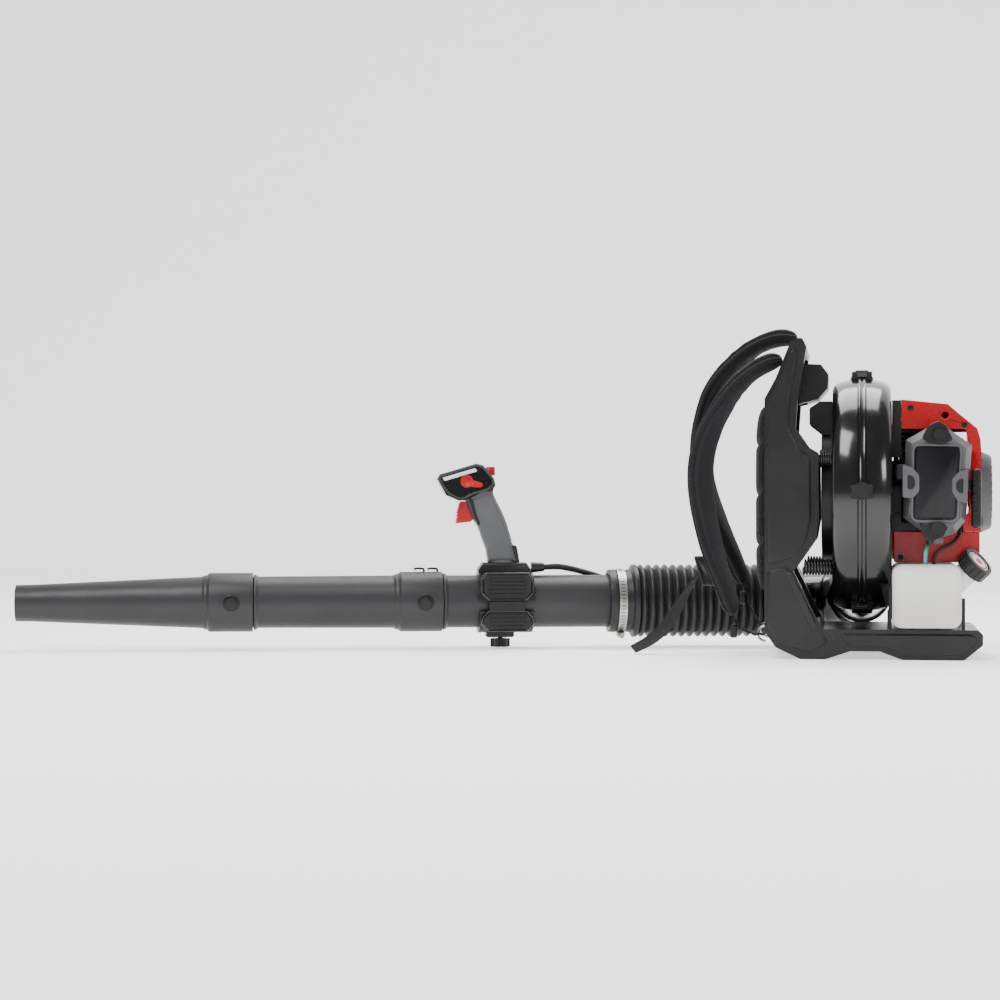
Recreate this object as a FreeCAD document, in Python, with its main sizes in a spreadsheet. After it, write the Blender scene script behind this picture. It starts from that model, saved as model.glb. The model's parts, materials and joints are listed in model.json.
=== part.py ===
"""Petrol backpack leaf blower.

Frame of the model: millimetres, +Z up, origin on the underside of the rear foot.
The wearer faces -X, the engine is towards +X, the air pipe is on the +Y side.
"""
import FreeCAD, Part
import math
import os
import re
import Sketcher
from FreeCAD import Placement, Rotation, Vector

doc = FreeCAD.newDocument("leaf_blower")
sheet = doc.addObject("Spreadsheet::Sheet", "dims")

SIZES = {
    # backpack frame
    "frame_front": -247, "frame_width": 240, "frame_top": 470, "frame_skin": 8, "cheek": 22,
    "base_top": 44, "base_rear": 67, "pad_thick": 15, "pad_width": 190, "strap_width": 56,
    "strap_thick": 22, "web_width": 25, "web_thick": 2.4,
    # blower
    "crank_z": 244, "volute_mid": -106, "volute_depth": 86, "volute_wall": 3, "scroll_small": 160,
    "scroll_large": 178, "outlet_tilt": 8, "outlet_y": 140, "elbow_bend": 72, "elbow_run": 10,
    "tube_yaw": 14, "impeller_rad": 128, "shaft_rad": 7,
    # air pipe
    "pipe_rad": 41, "pipe_wall": 2.2, "hose_rad": 57, "hose_inner": 46, "hose_len": 262,
    "cuff_end": 307, "tube_start": 285, "collar_back": 569, "collar_len": 67, "collar_rad": 46.8,
    "front_back": 863, "front_len": 69, "nozzle_end": 1227, "nozzle_mouth": 28.5,
    "handle_mid": 470, "handle_len": 85, "grip_thick": 32, "head_thick": 42,
    # engine
    "bore_rad": 21, "tank_wall": 2.6, "tank_len": 99, "tank_width": 210, "tank_high": 92,
    "tank_floor": 47, "cap_rad": 24.5, "cleaner_face": -148,
    "cover_skin": 3, "recoil_rad": 62, "fit": 0.3,
}
for row, (alias, value) in enumerate(SIZES.items(), start=1):
    sheet.set("A%d" % row, alias)
    sheet.set("B%d" % row, str(value))
    sheet.setAlias("B%d" % row, alias)
doc.recompute()

NODES = []


def formula(text):
    """Write the sheet's name before every alias, so that the text works in setExpression."""
    return re.sub(r"[a-z_]+", lambda word: "dims." + word.group(), str(text))


def size(text):
    """The value of a cell, or of a sum of cells."""
    return float(sheet.evalExpression(formula(text)))


def rad(alias):
    """An angle cell in radians."""
    return math.radians(size(alias))


# ---------------------------------------------------------------- helpers for PartDesign bodies
def new_body(label):
    body = doc.addObject("PartDesign::Body", label)
    body.Label = label
    NODES.append(body)
    return body


def plane(body, role):
    return [item for item in body.Origin.OriginFeatures if item.Role == role][0]


def outline(body, role, corners, offset=0):
    """A closed outline whose corners are bound to cells; offset moves it along the plane's normal."""
    sketch = body.newObject("Sketcher::SketchObject", body.Label + "_outline")
    sketch.AttachmentSupport = [(plane(body, role), "")]
    sketch.MapMode = "FlatFace"
    sketch.AttachmentOffset = Placement(Vector(0, 0, size(offset)), Rotation())
    spots = [Vector(size(a), size(b), 0) for a, b in corners]
    count = len(spots)
    for i in range(count):
        sketch.addGeometry(Part.LineSegment(spots[i], spots[(i + 1) % count]), False)
    for i in range(count):
        sketch.addConstraint(Sketcher.Constraint("Coincident", i, 2, (i + 1) % count, 1))
    for i, corner in enumerate(corners):
        for kind, text, value in zip(("DistanceX", "DistanceY"), corner, (spots[i].x, spots[i].y)):
            number = sketch.addConstraint(Sketcher.Constraint(kind, -1, 1, i, 1, value))
            if re.search("[a-z]", str(text)):
                sketch.setExpression("Constraints[%d]" % number, formula(text))
    return sketch


def pad(body, sketch, length, both_ways=False):
    feature = body.newObject("PartDesign::Pad", body.Label + "_pad")
    feature.Profile = sketch
    feature.setExpression("Length", formula(length))
    feature.SideType = "Symmetric" if both_ways else "One side"
    doc.recompute()
    return feature


def pocket(body, sketch, length, both_ways=True, backwards=False):
    """Cut the outline out of the body, and stop if nothing was cut."""
    before = body.Shape.Volume
    feature = body.newObject("PartDesign::Pocket", body.Label + "_pocket")
    feature.Profile = sketch
    feature.setExpression("Length", formula(length))
    feature.SideType = "Symmetric" if both_ways else "One side"
    feature.Reversed = backwards
    doc.recompute()
    if body.Shape.Volume > before - 1e-3:
        raise RuntimeError(body.Label + ": a pocket cut nothing")
    return feature


def soften(body, radius, axis=None, where=None):
    """Round the straight edges that run along an axis, or those that the test picks."""
    doc.recompute()
    last = body.Tip
    names = []
    for number, edge in enumerate(last.Shape.Edges, start=1):
        line = isinstance(edge.Curve, Part.Line)
        if axis and not (line and abs(edge.Curve.Direction.dot(axis)) > 0.999):
            continue
        if where and not where(edge):
            continue
        names.append("Edge%d" % number)
    feature = body.newObject("PartDesign::Fillet", body.Label + "_round")
    feature.Base = (last, names)
    feature.setExpression("Radius", formula(radius))
    doc.recompute()
    return feature


def slab(label, role, corners, length, at=(0, 0, 0), turn=None, both_ways=True):
    """A body padded from one outline."""
    body = new_body(label)
    pad(body, outline(body, role, corners), length, both_ways)
    body.Placement = Placement(Vector(*at), turn or Rotation())
    return body


def turned(label, corners, where=None):
    """A body turned about its own X axis from an outline of (along, radius) corners."""
    body = new_body(label)
    feature = body.newObject("PartDesign::Revolution", label + "_turned")
    sketch = outline(body, "XZ_Plane", corners)
    feature.Profile = sketch
    feature.ReferenceAxis = (sketch, ["H_Axis"])
    feature.Angle = 360
    body.Placement = where or Placement()
    doc.recompute()
    return body


# ------------------------------------------------------- helpers for shapes made by Part functions
def solid(label, shape, where=None):
    item = doc.addObject("Part::Feature", label)
    item.Label = label
    item.Shape = shape
    if where:
        item.Placement = where
    NODES.append(item)
    return item


def box(low, high):
    low, high = Vector(*low), Vector(*high)
    return Part.makeBox(high.x - low.x, high.y - low.y, high.z - low.z, low)


def rod(start, end, radius):
    start, end = Vector(*start), Vector(*end)
    return Part.makeCylinder(radius, (end - start).Length, start, end - start)


def plate(corners, y_low, y_high):
    """A flat outline in X and Z, given thickness along Y."""
    spots = [Vector(x, y_low, z) for x, z in corners]
    return Part.Face(Part.makePolygon(spots + spots[:1])).extrude(Vector(0, y_high - y_low, 0))


def rounded(shape, radius, axis=None):
    """Round all edges, or only those along an axis."""
    edges = [e for e in shape.Edges
             if axis is None or (isinstance(e.Curve, Part.Line)
                                 and abs(e.Curve.Direction.dot(axis)) > 0.999)]
    return shape.makeFillet(radius, edges)


def rounded_route(points, share=0.45):
    """Straight runs joined by tangent arcs; returns the wire and its radii."""
    spots = [Vector(*p) for p in points]
    edges, radii, last = [], [], spots[0]
    for before, corner, after in zip(spots, spots[1:], spots[2:]):
        back, ahead = before - corner, after - corner
        reach = share * min(back.Length, ahead.Length)
        half_turn = (math.pi - back.getAngle(ahead)) / 2
        radii.append(round(reach / math.tan(half_turn), 1))
        start = corner + back.normalize() * reach
        end = corner + ahead.normalize() * reach
        towards = ((start + end) * 0.5 - corner).normalize()
        radius = reach / math.tan(half_turn)
        middle = corner + towards * (math.hypot(reach, radius) - radius)
        edges += [Part.LineSegment(last, start).toShape(), Part.Arc(start, middle, end).toShape()]
        last = end
    edges.append(Part.LineSegment(last, spots[-1]).toShape())
    return Part.Wire(edges), radii


def cable(label, points, radius, where=None):
    """A round cable along a route of runs and arcs."""
    wire, radii = rounded_route(points)
    first = Vector(*points[1]) - Vector(*points[0])
    ring = Part.Wire(Part.makeCircle(radius, Vector(*points[0]), first))
    shape = wire.makePipeShell([ring], True, False)
    ideal = math.pi * radius ** 2 * wire.Length
    print(label, "radii", radii, "volume ratio", round(abs(shape.Volume) / ideal, 3))
    return solid(label, shape, where)


def band(corners, thickness):
    """A strip of even thickness that follows a line of (x, z) corners, as an outline."""
    upper, lower = [], []
    for i, (x, z) in enumerate(corners):
        before = corners[max(i - 1, 0)]
        after = corners[min(i + 1, len(corners) - 1)]
        along = math.hypot(after[0] - before[0], after[1] - before[1])
        nx, nz = -(after[1] - before[1]) / along, (after[0] - before[0]) / along
        upper.append((x + nx * thickness / 2, z + nz * thickness / 2))
        lower.append((x - nx * thickness / 2, z - nz * thickness / 2))
    return upper + lower[::-1]


# ------------------------------------------------------------------------------ backpack frame
def make_frame():
    """Hollow blow-moulded back plate and base, open towards the engine."""
    side = [("frame_front", 40), ("frame_front", 380), (-231, 409), (-209, "frame_top - 6"),
            (-193, "frame_top"), (-186, 456), (-199, 377), (-202, 336), (-183, 309), (-169, 301),
            (-168, 203), (-173, 174), (-195, 142), (-205, 128), (-164, "base_top"),
            (59, "base_top"), ("base_rear", 38), ("base_rear", 22), (40, 0), (-48, 0), (-80, 12),
            (-123, 12), (-159, 0), (-195, 0), (-231, 17)]
    frame = slab("backpack_frame", "XZ_Plane", side, "frame_width")
    hollow = [("frame_front + frame_skin", "base_top + 8"), ("frame_front + frame_skin", 378),
              (-224, 404), (-205, 446), (-150, 446), (-150, "base_top + 8")]
    pocket(frame, outline(frame, "XZ_Plane", hollow), "frame_width - cheek * 2")
    soften(frame, 6, Vector(0, 1, 0), lambda e: e.Length > 200)
    half = "frame_width / 2 - 10"
    cells = [((-226, "-(%s)" % half), (-130, half)), ((-118, "-(%s)" % half), (-34, half)),
             ((-24, 34), (56, half)), ((-24, "-(%s)" % half), (56, -34))]
    for low, high in cells:
        corners = [low, (high[0], low[1]), high, (low[0], high[1])]
        pocket(frame, outline(frame, "XY_Plane", corners, 13), "base_top - 19", False, True)
        pocket(frame, outline(frame, "XY_Plane", corners, 14), "20", False, False)
    return frame


def make_carry_handle():
    """Rounded bar behind the top of the frame, held by two arms."""
    side = [(-203, 428), (-190, 434), (-166, 433), (-155, 418), (-156, 398), (-170, 382),
            (-199, 374)]
    handle = slab("carry_handle", "XZ_Plane", side, "108")
    gap = [(-230, 440), (-230, 360), (-194, 360), (-180, 392), (-178, 414), (-190, 440)]
    pocket(handle, outline(handle, "XZ_Plane", gap), "76")
    soften(handle, 5, Vector(0, 1, 0), lambda e: e.CenterOfMass.x > -185)
    return handle


def make_harness():
    """Padded straps, back pad, webbing, buckles and hooks."""
    front = size("frame_front")
    skin = size("fit")
    pad_low, pad_high = 96, 372
    depth, half = size("pad_thick"), size("pad_width / 2")
    cushion = box((front - skin - depth, -half, pad_low), (front - skin, half, pad_high))
    solid("back_pad", rounded(cushion, depth * 0.45))
    strap, wide = size("strap_thick"), size("strap_width")
    near = [(-225.4, 440), (-242, 436), (-266, 423), (-291, 400), (-312, 370), (-330, 336),
            (-341, 300), (-344, 262), (-340, 222), (-328, 165), (-310, 108), (-292, 56)]
    far = [(-204, 483), (-236, 481), (-270, 466), (-302, 438), (-330, 400), (-345, 350),
           (-350, 300), (-346, 256), (-326, 200), (-302, 145), (-284, 100)]
    for label, line, centre in (("strap_left", near, -62), ("strap_right", far, 62)):
        blank = plate(band(line, strap), centre - wide / 2, centre + wide / 2)
        solid(label, blank)
    tape, broad = size("web_thick"), size("web_width")
    left = plate(band([(-291, 50), (-280, 40), (-266, 34), (-250, 33)], tape), -62 - broad / 2,
                 -62 + broad / 2)
    right = plate(band([(-282, 93), (-276, 70), (-262, 44), (-250, 38)], tape), 62 - broad / 2,
                  62 + broad / 2)
    buckles = []
    for centre, x, z in ((-62, -291, 50), (62, -283, 95)):
        body = box((x - 8, centre - 17, z - 22), (x + 2, centre + 17, z - 3))
        buckles.append(rounded(body, 2.5))
    chest = plate([(-342, 104), (-321.6, 104), (-335.4, 148), (-355, 148)], -52, -18)
    solid("ladder_buckles", Part.makeCompound(buckles + [rounded(chest, 2.5)]))
    tail = [(-349, 122), (-364, 98), (-380, 70), (-398, 42), (-420, 22), (-447, 6)]
    loose = plate(band(tail, tape), -35 - broad / 2, -35 + broad / 2)
    solid("harness_webbing", Part.makeCompound([left, right, loose]))
    hooks = []
    for centre in (-62, 62):
        ring = Part.makeTorus(11, 2, Vector(front - 1, centre, 34), Vector(0, 1, 0))
        hooks.append(ring.common(box((front - 20, centre - 20, 10), (front - 0.2, centre + 20, 60))))
    solid("strap_hooks", Part.makeCompound(hooks))


def make_isolators():
    """Coil springs between the frame and the blower: two above, two below."""
    springs = []
    for y, z, x_low, x_high in ((-104, 294, -168, -149.5), (104, 294, -168, -149.5),
                                (-106, 134, -191, -149.5), (106, 134, -191, -149.5)):
        core = rod((x_low, y, z), (x_high, y, z), 6)
        turns = [Part.makeTorus(10, 2.2, Vector(x, y, z), Vector(1, 0, 0))
                 for x in range(int(x_low) + 3, int(x_high) - 2, 5)]
        springs.append(Part.makeCompound([core]) if not turns else core.multiFuse(
            [Part.makeCylinder(12, 3, Vector(x_low, y, z), Vector(1, 0, 0))]
            + [Part.makeCylinder(12, 2, Vector(t.CenterOfMass.x, y, z), Vector(1, 0, 0))
               for t in turns]))
    solid("isolator_springs", Part.makeCompound(springs))


# ------------------------------------------------------------------------------------- blower
def scroll_point(angle, inset=0):
    """A point of the scroll's wall; the radius grows evenly with the angle in degrees."""
    start, end = -50, 270 - size("outlet_tilt")
    share = (angle - start) / (end - start)
    reach = size("scroll_small") + share * size("scroll_large - scroll_small") - inset
    turn = math.radians(angle)
    return Vector(0, reach * math.cos(turn), size("crank_z") + reach * math.sin(turn))


def scroll_ring(inset, x):
    """The scroll's outline in one plane."""
    end, count = 270 - size("outlet_tilt"), 12
    spots = [scroll_point(-50 + i * (end + 50) / count, inset) for i in range(count + 1)]
    curve = Part.BSplineCurve()
    curve.interpolate(spots)
    ring = Part.Wire([curve.toShape(), Part.LineSegment(spots[-1], spots[0]).toShape()])
    ring.translate(Vector(x, 0, 0))
    return ring


def scroll_solid(inset, half, middle):
    """The scroll without its outlet pipe; its rims are rounded in three flats."""
    steps = [(-half, 15), (-half + 4, 7), (-half + 12, 0), (half - 12, 0), (half - 4, 7), (half, 15)]
    rings = [scroll_ring(inset + step, middle + x) for x, step in steps]
    return Part.makeLoft(rings, True, True)


def outlet_line():
    """Start, end and direction of the volute's outlet pipe."""
    tilt, middle = rad("outlet_tilt"), size("volute_mid")
    along = Vector(0, math.cos(tilt), -math.sin(tilt))
    reach = size("scroll_large - pipe_rad")
    throat = Vector(middle, -reach * math.sin(tilt), size("crank_z") - reach * math.cos(tilt))
    mouth = throat + along * ((size("outlet_y") - throat.y) / along.y)
    return throat, mouth, along


def tube_direction():
    yaw = rad("tube_yaw")
    return Vector(-math.cos(yaw), -math.sin(yaw), 0)


def duct_start():
    """Where the elbow ends and the hose begins."""
    throat, mouth, along = outlet_line()
    onward = tube_direction()
    reach = size("elbow_bend") * math.tan(along.getAngle(onward) / 2)
    return mouth + (along + onward) * reach + onward * size("elbow_run")


def make_volute():
    """Two half shells around the impeller, with the outlet pipe at the bottom."""
    half, wall, middle = size("volute_depth / 2"), size("volute_wall"), size("volute_mid")
    throat, mouth, along = outlet_line()
    outer = scroll_solid(0, half, middle)
    inner = scroll_solid(wall, half - wall, middle)
    pipe, hole = size("pipe_rad"), size("pipe_rad - volute_wall")
    length = (mouth - throat).Length
    outer = outer.fuse(Part.makeCylinder(pipe, length, throat, along))
    bead = Part.makeCylinder(pipe + 4, 6, mouth - along * 6, along)
    outer = outer.fuse(bead)
    tab = box((middle - 11, -16, 405), (middle + 11, 16, 424))
    outer = outer.fuse(rounded(tab, 3))
    inner = inner.fuse(Part.makeCylinder(hole, length + 1, throat, along))
    hollow = outer.cut(inner)
    crank = size("crank_z")
    eye = Part.makeCylinder(92, 30, Vector(middle - half - 5, 0, crank), Vector(1, 0, 0))
    gland = Part.makeCylinder(size("shaft_rad") + 3, 30, Vector(middle + half - 10, 0, crank),
                              Vector(1, 0, 0))
    hollow = hollow.cut(eye).cut(gland)
    far = 400
    front = hollow.common(box((middle - 200, -far, 0), (middle, far, 500)))
    rear = hollow.common(box((middle, -far, 0), (middle + 200, far, 500)))
    solid("volute_front", front)
    solid("volute_rear", rear)
    clips = []
    for angle in (95, 180, 248, 20):
        spot = scroll_point(angle)
        turn = math.degrees(math.atan2(spot.z - crank, spot.y))
        lug = Part.makeBox(30, 12, 20, Vector(middle - 15, 0, -10))
        lug.rotate(Vector(0, 0, 0), Vector(1, 0, 0), turn)
        clips.append(lug.translated(Vector(0, spot.y, spot.z)).cut(outer))
    solid("volute_clips", Part.makeCompound(clips))


def make_intake():
    """Round guard over the volute's eye, with slots."""
    middle, half, crank = size("volute_mid"), size("volute_depth / 2"), size("crank_z")
    face = middle - half
    guard = Part.makeCylinder(102, 16, Vector(face - 16, 0, crank), Vector(1, 0, 0))
    guard = guard.cut(Part.makeCylinder(97, 13, Vector(face - 13, 0, crank), Vector(1, 0, 0)))
    slots = []
    for row in range(-5, 6):
        reach = math.sqrt(90 ** 2 - (row * 15) ** 2)
        slots.append(box((face - 17, -reach, crank + row * 15 - 4),
                         (face - 12, reach, crank + row * 15 + 4)))
    solid("intake_guard", guard.cut(Part.makeCompound(slots)))


def make_rotor():
    """Impeller, crankshaft and flywheel, which turn together about the crank axis."""
    middle, half, crank = size("volute_mid"), size("volute_depth / 2"), size("crank_z")
    wall, reach, shaft = size("volute_wall"), size("impeller_rad"), size("shaft_rad")
    back = middle + half - wall - 8
    axis = Vector(1, 0, 0)
    disc = Part.makeCylinder(reach, 3, Vector(back, 0, crank), axis)
    hub = Part.makeCylinder(22, 34, Vector(back - 34, 0, crank), axis)
    blades = []
    for number in range(12):
        blade = box((back - 46, 96, -1.5), (back + 1, reach - 1, 1.5))
        blade.rotate(Vector(0, 96, 0), axis, 38)
        blade.rotate(Vector(0, 0, 0), axis, number * 30)
        blade.translate(Vector(0, 0, crank))
        blades.append(blade)
    wheel = disc.multiFuse([hub] + blades)
    rim = Part.makeCylinder(reach + 30, 60, Vector(back - 50, 0, crank), axis)
    wheel = wheel.common(rim).cut(Part.makeCylinder(shaft, 60, Vector(back - 40, 0, crank), axis))
    solid("impeller", wheel)
    rod_shape = Part.makeCylinder(shaft, 58 - (back - 40), Vector(back - 40, 0, crank), axis)
    web = Part.makeCylinder(24, 12, Vector(-35, 0, crank), axis)
    solid("crankshaft", rod_shape.fuse(web))
    wheel = Part.makeCylinder(50, 10, Vector(24, 0, crank), axis)
    fins = []
    for number in range(14):
        fin = box((33, 24, -1.5), (46, 49, 1.5))
        fin.rotate(Vector(0, 0, 0), axis, number * 360 / 14)
        fins.append(fin.translated(Vector(0, 0, crank)))
    wheel = wheel.multiFuse(fins)
    wheel = wheel.cut(Part.makeCylinder(shaft, 40, Vector(15, 0, crank), axis))
    solid("flywheel", wheel)


def make_elbow():
    """Glossy bend from the volute's outlet to the hose."""
    throat, mouth, along = outlet_line()
    onward, start = tube_direction(), duct_start()
    normal = along.cross(onward).normalize()
    centre = mouth + normal.cross(along).normalize() * size("elbow_bend")
    turn = math.degrees(along.getAngle(onward))
    pipe, wall = size("pipe_rad"), size("pipe_wall")
    bore = pipe - wall

    def washer(spot, direction, outer):
        rings = [Part.Wire(Part.makeCircle(r, spot, direction)) for r in (outer, bore)]
        return Part.makeFace(rings, "Part::FaceMakerBullseye")
    bend = washer(mouth, along, pipe).revolve(centre, normal, turn)
    flange = washer(mouth, along, pipe + 4).extrude(along * 6)
    run = size("elbow_run")
    straight = washer(start - onward * run, onward, pipe).extrude(onward * run)
    stub = washer(start, onward, size("hose_inner") - 0.5).extrude(onward * 24)
    solid("outlet_elbow", bend.multiFuse([flange.cut(bend), straight, stub]))
    ring = Part.makeCylinder(size("hose_rad") + 1.5, 10, start + onward * 8, onward)
    ring = ring.cut(Part.makeCylinder(size("hose_rad"), 10, start + onward * 8, onward))
    screw = Part.makeCylinder(3.5, 22, start + onward * 13 + Vector(0, 0, size("hose_rad") + 3.5)
                              + onward.cross(Vector(0, 0, 1)) * 11,
                              onward.cross(Vector(0, 0, -1)))
    solid("elbow_clamp", ring.fuse(screw))


# ----------------------------------------------------------------------------------- air pipe
def duct_place(station=0, lift=0):
    """Placement at a station along the air pipe: local X runs to the nozzle, local +Y is near."""
    start = duct_start() + tube_direction() * station + Vector(0, 0, lift)
    return Placement(start, Rotation(Vector(0, 0, 1), 180 + size("tube_yaw")))


def hose_half(label, start, end, ridges):
    """Half of the bellows: ridges and valleys turned about the pipe's axis."""
    crest, root, bore = size("hose_rad"), size("hose_rad - 5"), size("hose_inner")
    step = (end - start) / ridges
    upper = []
    for number in range(ridges):
        left = start + number * step
        upper += [(left + step * 0.25, root), (left + step * 0.45, crest),
                  (left + step * 0.75, crest), (left + step * 0.95, root)]
    corners = [(start, bore), (start, root)] + upper + [(end, root), (end, bore)]
    spots = [Vector(x, 0, r) for x, r in corners]
    face = Part.Face(Part.makePolygon(spots + spots[:1]))
    return solid(label, face.revolve(Vector(), Vector(1, 0, 0), 360), duct_place())


def make_pipe():
    """Hose, cuff, the three rigid tubes and their locks."""
    gap, middle = size("fit"), size("hose_len / 2")
    hose_half("hose_rear", 0, middle - gap / 2, 10)
    hose_half("hose_front", middle + gap / 2, size("hose_len") - gap, 10)
    turned("hose_cuff", [("hose_len", "pipe_rad + fit"), ("hose_len", "hose_rad"),
                         ("hose_len + 8", "hose_rad"), ("hose_len + 10", "pipe_rad + 8"),
                         ("cuff_end", "pipe_rad + 6"), ("cuff_end", "pipe_rad + fit")],
           duct_place())
    band_mid = size("hose_len + 26")
    ring = Part.makeCylinder(size("pipe_rad + 9.6"), 12, Vector(band_mid - 6, 0, 0),
                             Vector(1, 0, 0))
    ring = ring.cut(Part.makeCylinder(size("pipe_rad + 8"), 12, Vector(band_mid - 6, 0, 0),
                                      Vector(1, 0, 0)))
    worm = rod((band_mid, 4, -size("pipe_rad + 13")), (band_mid, 28, -size("pipe_rad + 13")), 4)
    yoke = box((band_mid - 6, 2, -size("pipe_rad + 14")), (band_mid + 6, 18, -size("pipe_rad + 8.3")))
    solid("hose_clamp", ring.fuse(worm).fuse(yoke), duct_place())
    bore = "pipe_rad - pipe_wall"
    turned("rear_tube", [("tube_start", bore), ("tube_start", "pipe_rad"),
                         ("collar_back - 4", "pipe_rad"), ("collar_back - 4", "pipe_rad + 3"),
                         ("collar_back - 1", "pipe_rad + 3"), ("collar_back - 1", "pipe_rad - 0.6"),
                         ("collar_back + 45", "pipe_rad - 0.6"), ("collar_back + 45", bore)],
           duct_place())
    sleeve = "pipe_rad - 0.3"
    end = "collar_back + collar_len"
    turned("middle_tube", [("collar_back", sleeve), ("collar_back", "collar_rad"),
                           (end, "collar_rad"), (end + "+ 1", "pipe_rad + 3"),
                           (end + "+ 7", "pipe_rad + 1"), (end + "+ 9", "pipe_rad"),
                           ("front_back - 4", "pipe_rad - 1"), ("front_back - 4", "pipe_rad + 2"),
                           ("front_back - 1", "pipe_rad + 2"), ("front_back - 1", "pipe_rad - 2"),
                           ("front_back + 45", "pipe_rad - 2"), ("front_back + 45", "pipe_rad - 4"),
                           (end, "pipe_rad - 4"), ("collar_back + 48", "pipe_rad - 4"),
                           ("collar_back + 48", sleeve)], duct_place())
    tip = "nozzle_end"
    end = "front_back + front_len"
    turned("nozzle", [("front_back", "pipe_rad - 1.7"), ("front_back", "collar_rad - 1"),
                      (end, "collar_rad - 1"), (end + "+ 1", "pipe_rad + 2"),
                      (end + "+ 7", "pipe_rad"), (end + "+ 9", "pipe_rad - 1"),
                      (tip + "- 26", "nozzle_mouth"), (tip, "nozzle_mouth"),
                      (tip, "nozzle_mouth - pipe_wall"), (tip + "- 26", "nozzle_mouth - pipe_wall"),
                      (end, "pipe_rad - 4"), ("front_back + 47", "pipe_rad - 4"),
                      ("front_back + 47", "pipe_rad - 1.7")], duct_place())


# ------------------------------------------------------------------------------------- handle
def make_clamp():
    """Two shells and a grip block that hold the handle on the rear tube, with their knob."""
    centre, half = size("handle_mid"), size("handle_len / 2")
    tube = Part.makeCylinder(size("pipe_rad + fit"), 200, Vector(centre - 100, 0, 0),
                             Vector(1, 0, 0))
    upper = plate([(centre - half, 2), (centre - half, 46), (centre - half + 10, 61),
                   (centre + half - 8, 61), (centre + half, 50), (centre + half, 2)], -50, 50)
    upper = upper.common(Part.makeCylinder(size("pipe_rad + 8"), 200,
                                           Vector(centre - 100, 0, 0), Vector(1, 0, 0))
                         .fuse(rounded(box((centre - half, -18, 2), (centre + half, 18, 61)), 4)))
    slots = [box((centre - half + 12, 20, z), (centre + half - 12, 60, z + 3.4))
             for z in (17, 23, 29, 35)]
    boot = Part.makeCone(7, 5.6, 20, Vector(centre - half, 0, 53), Vector(-1, 0, 0)).cut(
        rod((centre - half - 2, 0, 53), (centre - half - 30, 0, 53), 4.6))
    solid("clamp_upper", upper.cut(tube).cut(Part.makeCompound(slots).common(
        Part.makeCylinder(size("pipe_rad + 20"), 200, Vector(centre - 100, 0, 0),
                          Vector(1, 0, 0)).cut(Part.makeCylinder(
                              size("pipe_rad + 5"), 200, Vector(centre - 100, 0, 0),
                              Vector(1, 0, 0))))), duct_place())
    lower = Part.makeCylinder(size("pipe_rad + 8"), 2 * half, Vector(centre - half, 0, 0),
                              Vector(1, 0, 0)).common(
                                  box((centre - half, -60, -60), (centre + half, 60, -14)))
    boss = box((centre - 14, -14, -56), (centre + 30, 14, -30))
    lower = lower.fuse(rounded(boss, 3)).cut(tube)
    lower = lower.cut(rod((centre + 7, 0, -70), (centre + 7, 0, -30), 4.4))
    blocks = []
    for low, high in ((-52, -44), (44, 52)):
        block = box((centre - 27, low, -13.6), (centre + 29, high, 1.6))
        blocks.append(block.cut(Part.makeCylinder(size("pipe_rad + fit"), 200,
                                                  Vector(centre - 100, 0, 0), Vector(1, 0, 0))))
    solid("clamp_lower", Part.makeCompound([lower] + blocks), duct_place())
    knob = Part.makeCylinder(12, 13, Vector(centre + 7, 0, -71), Vector(0, 0, 1))
    lobes = [Part.makeCylinder(4.5, 13, Vector(centre + 7 + 11 * math.cos(a), 11 * math.sin(a), -71),
                               Vector(0, 0, 1)) for a in (i * math.pi / 3 for i in range(6))]
    stem = rod((centre + 7, 0, -60), (centre + 7, 0, -43), 4)
    solid("clamp_knob", knob.multiFuse(lobes + [stem]), duct_place())


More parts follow.
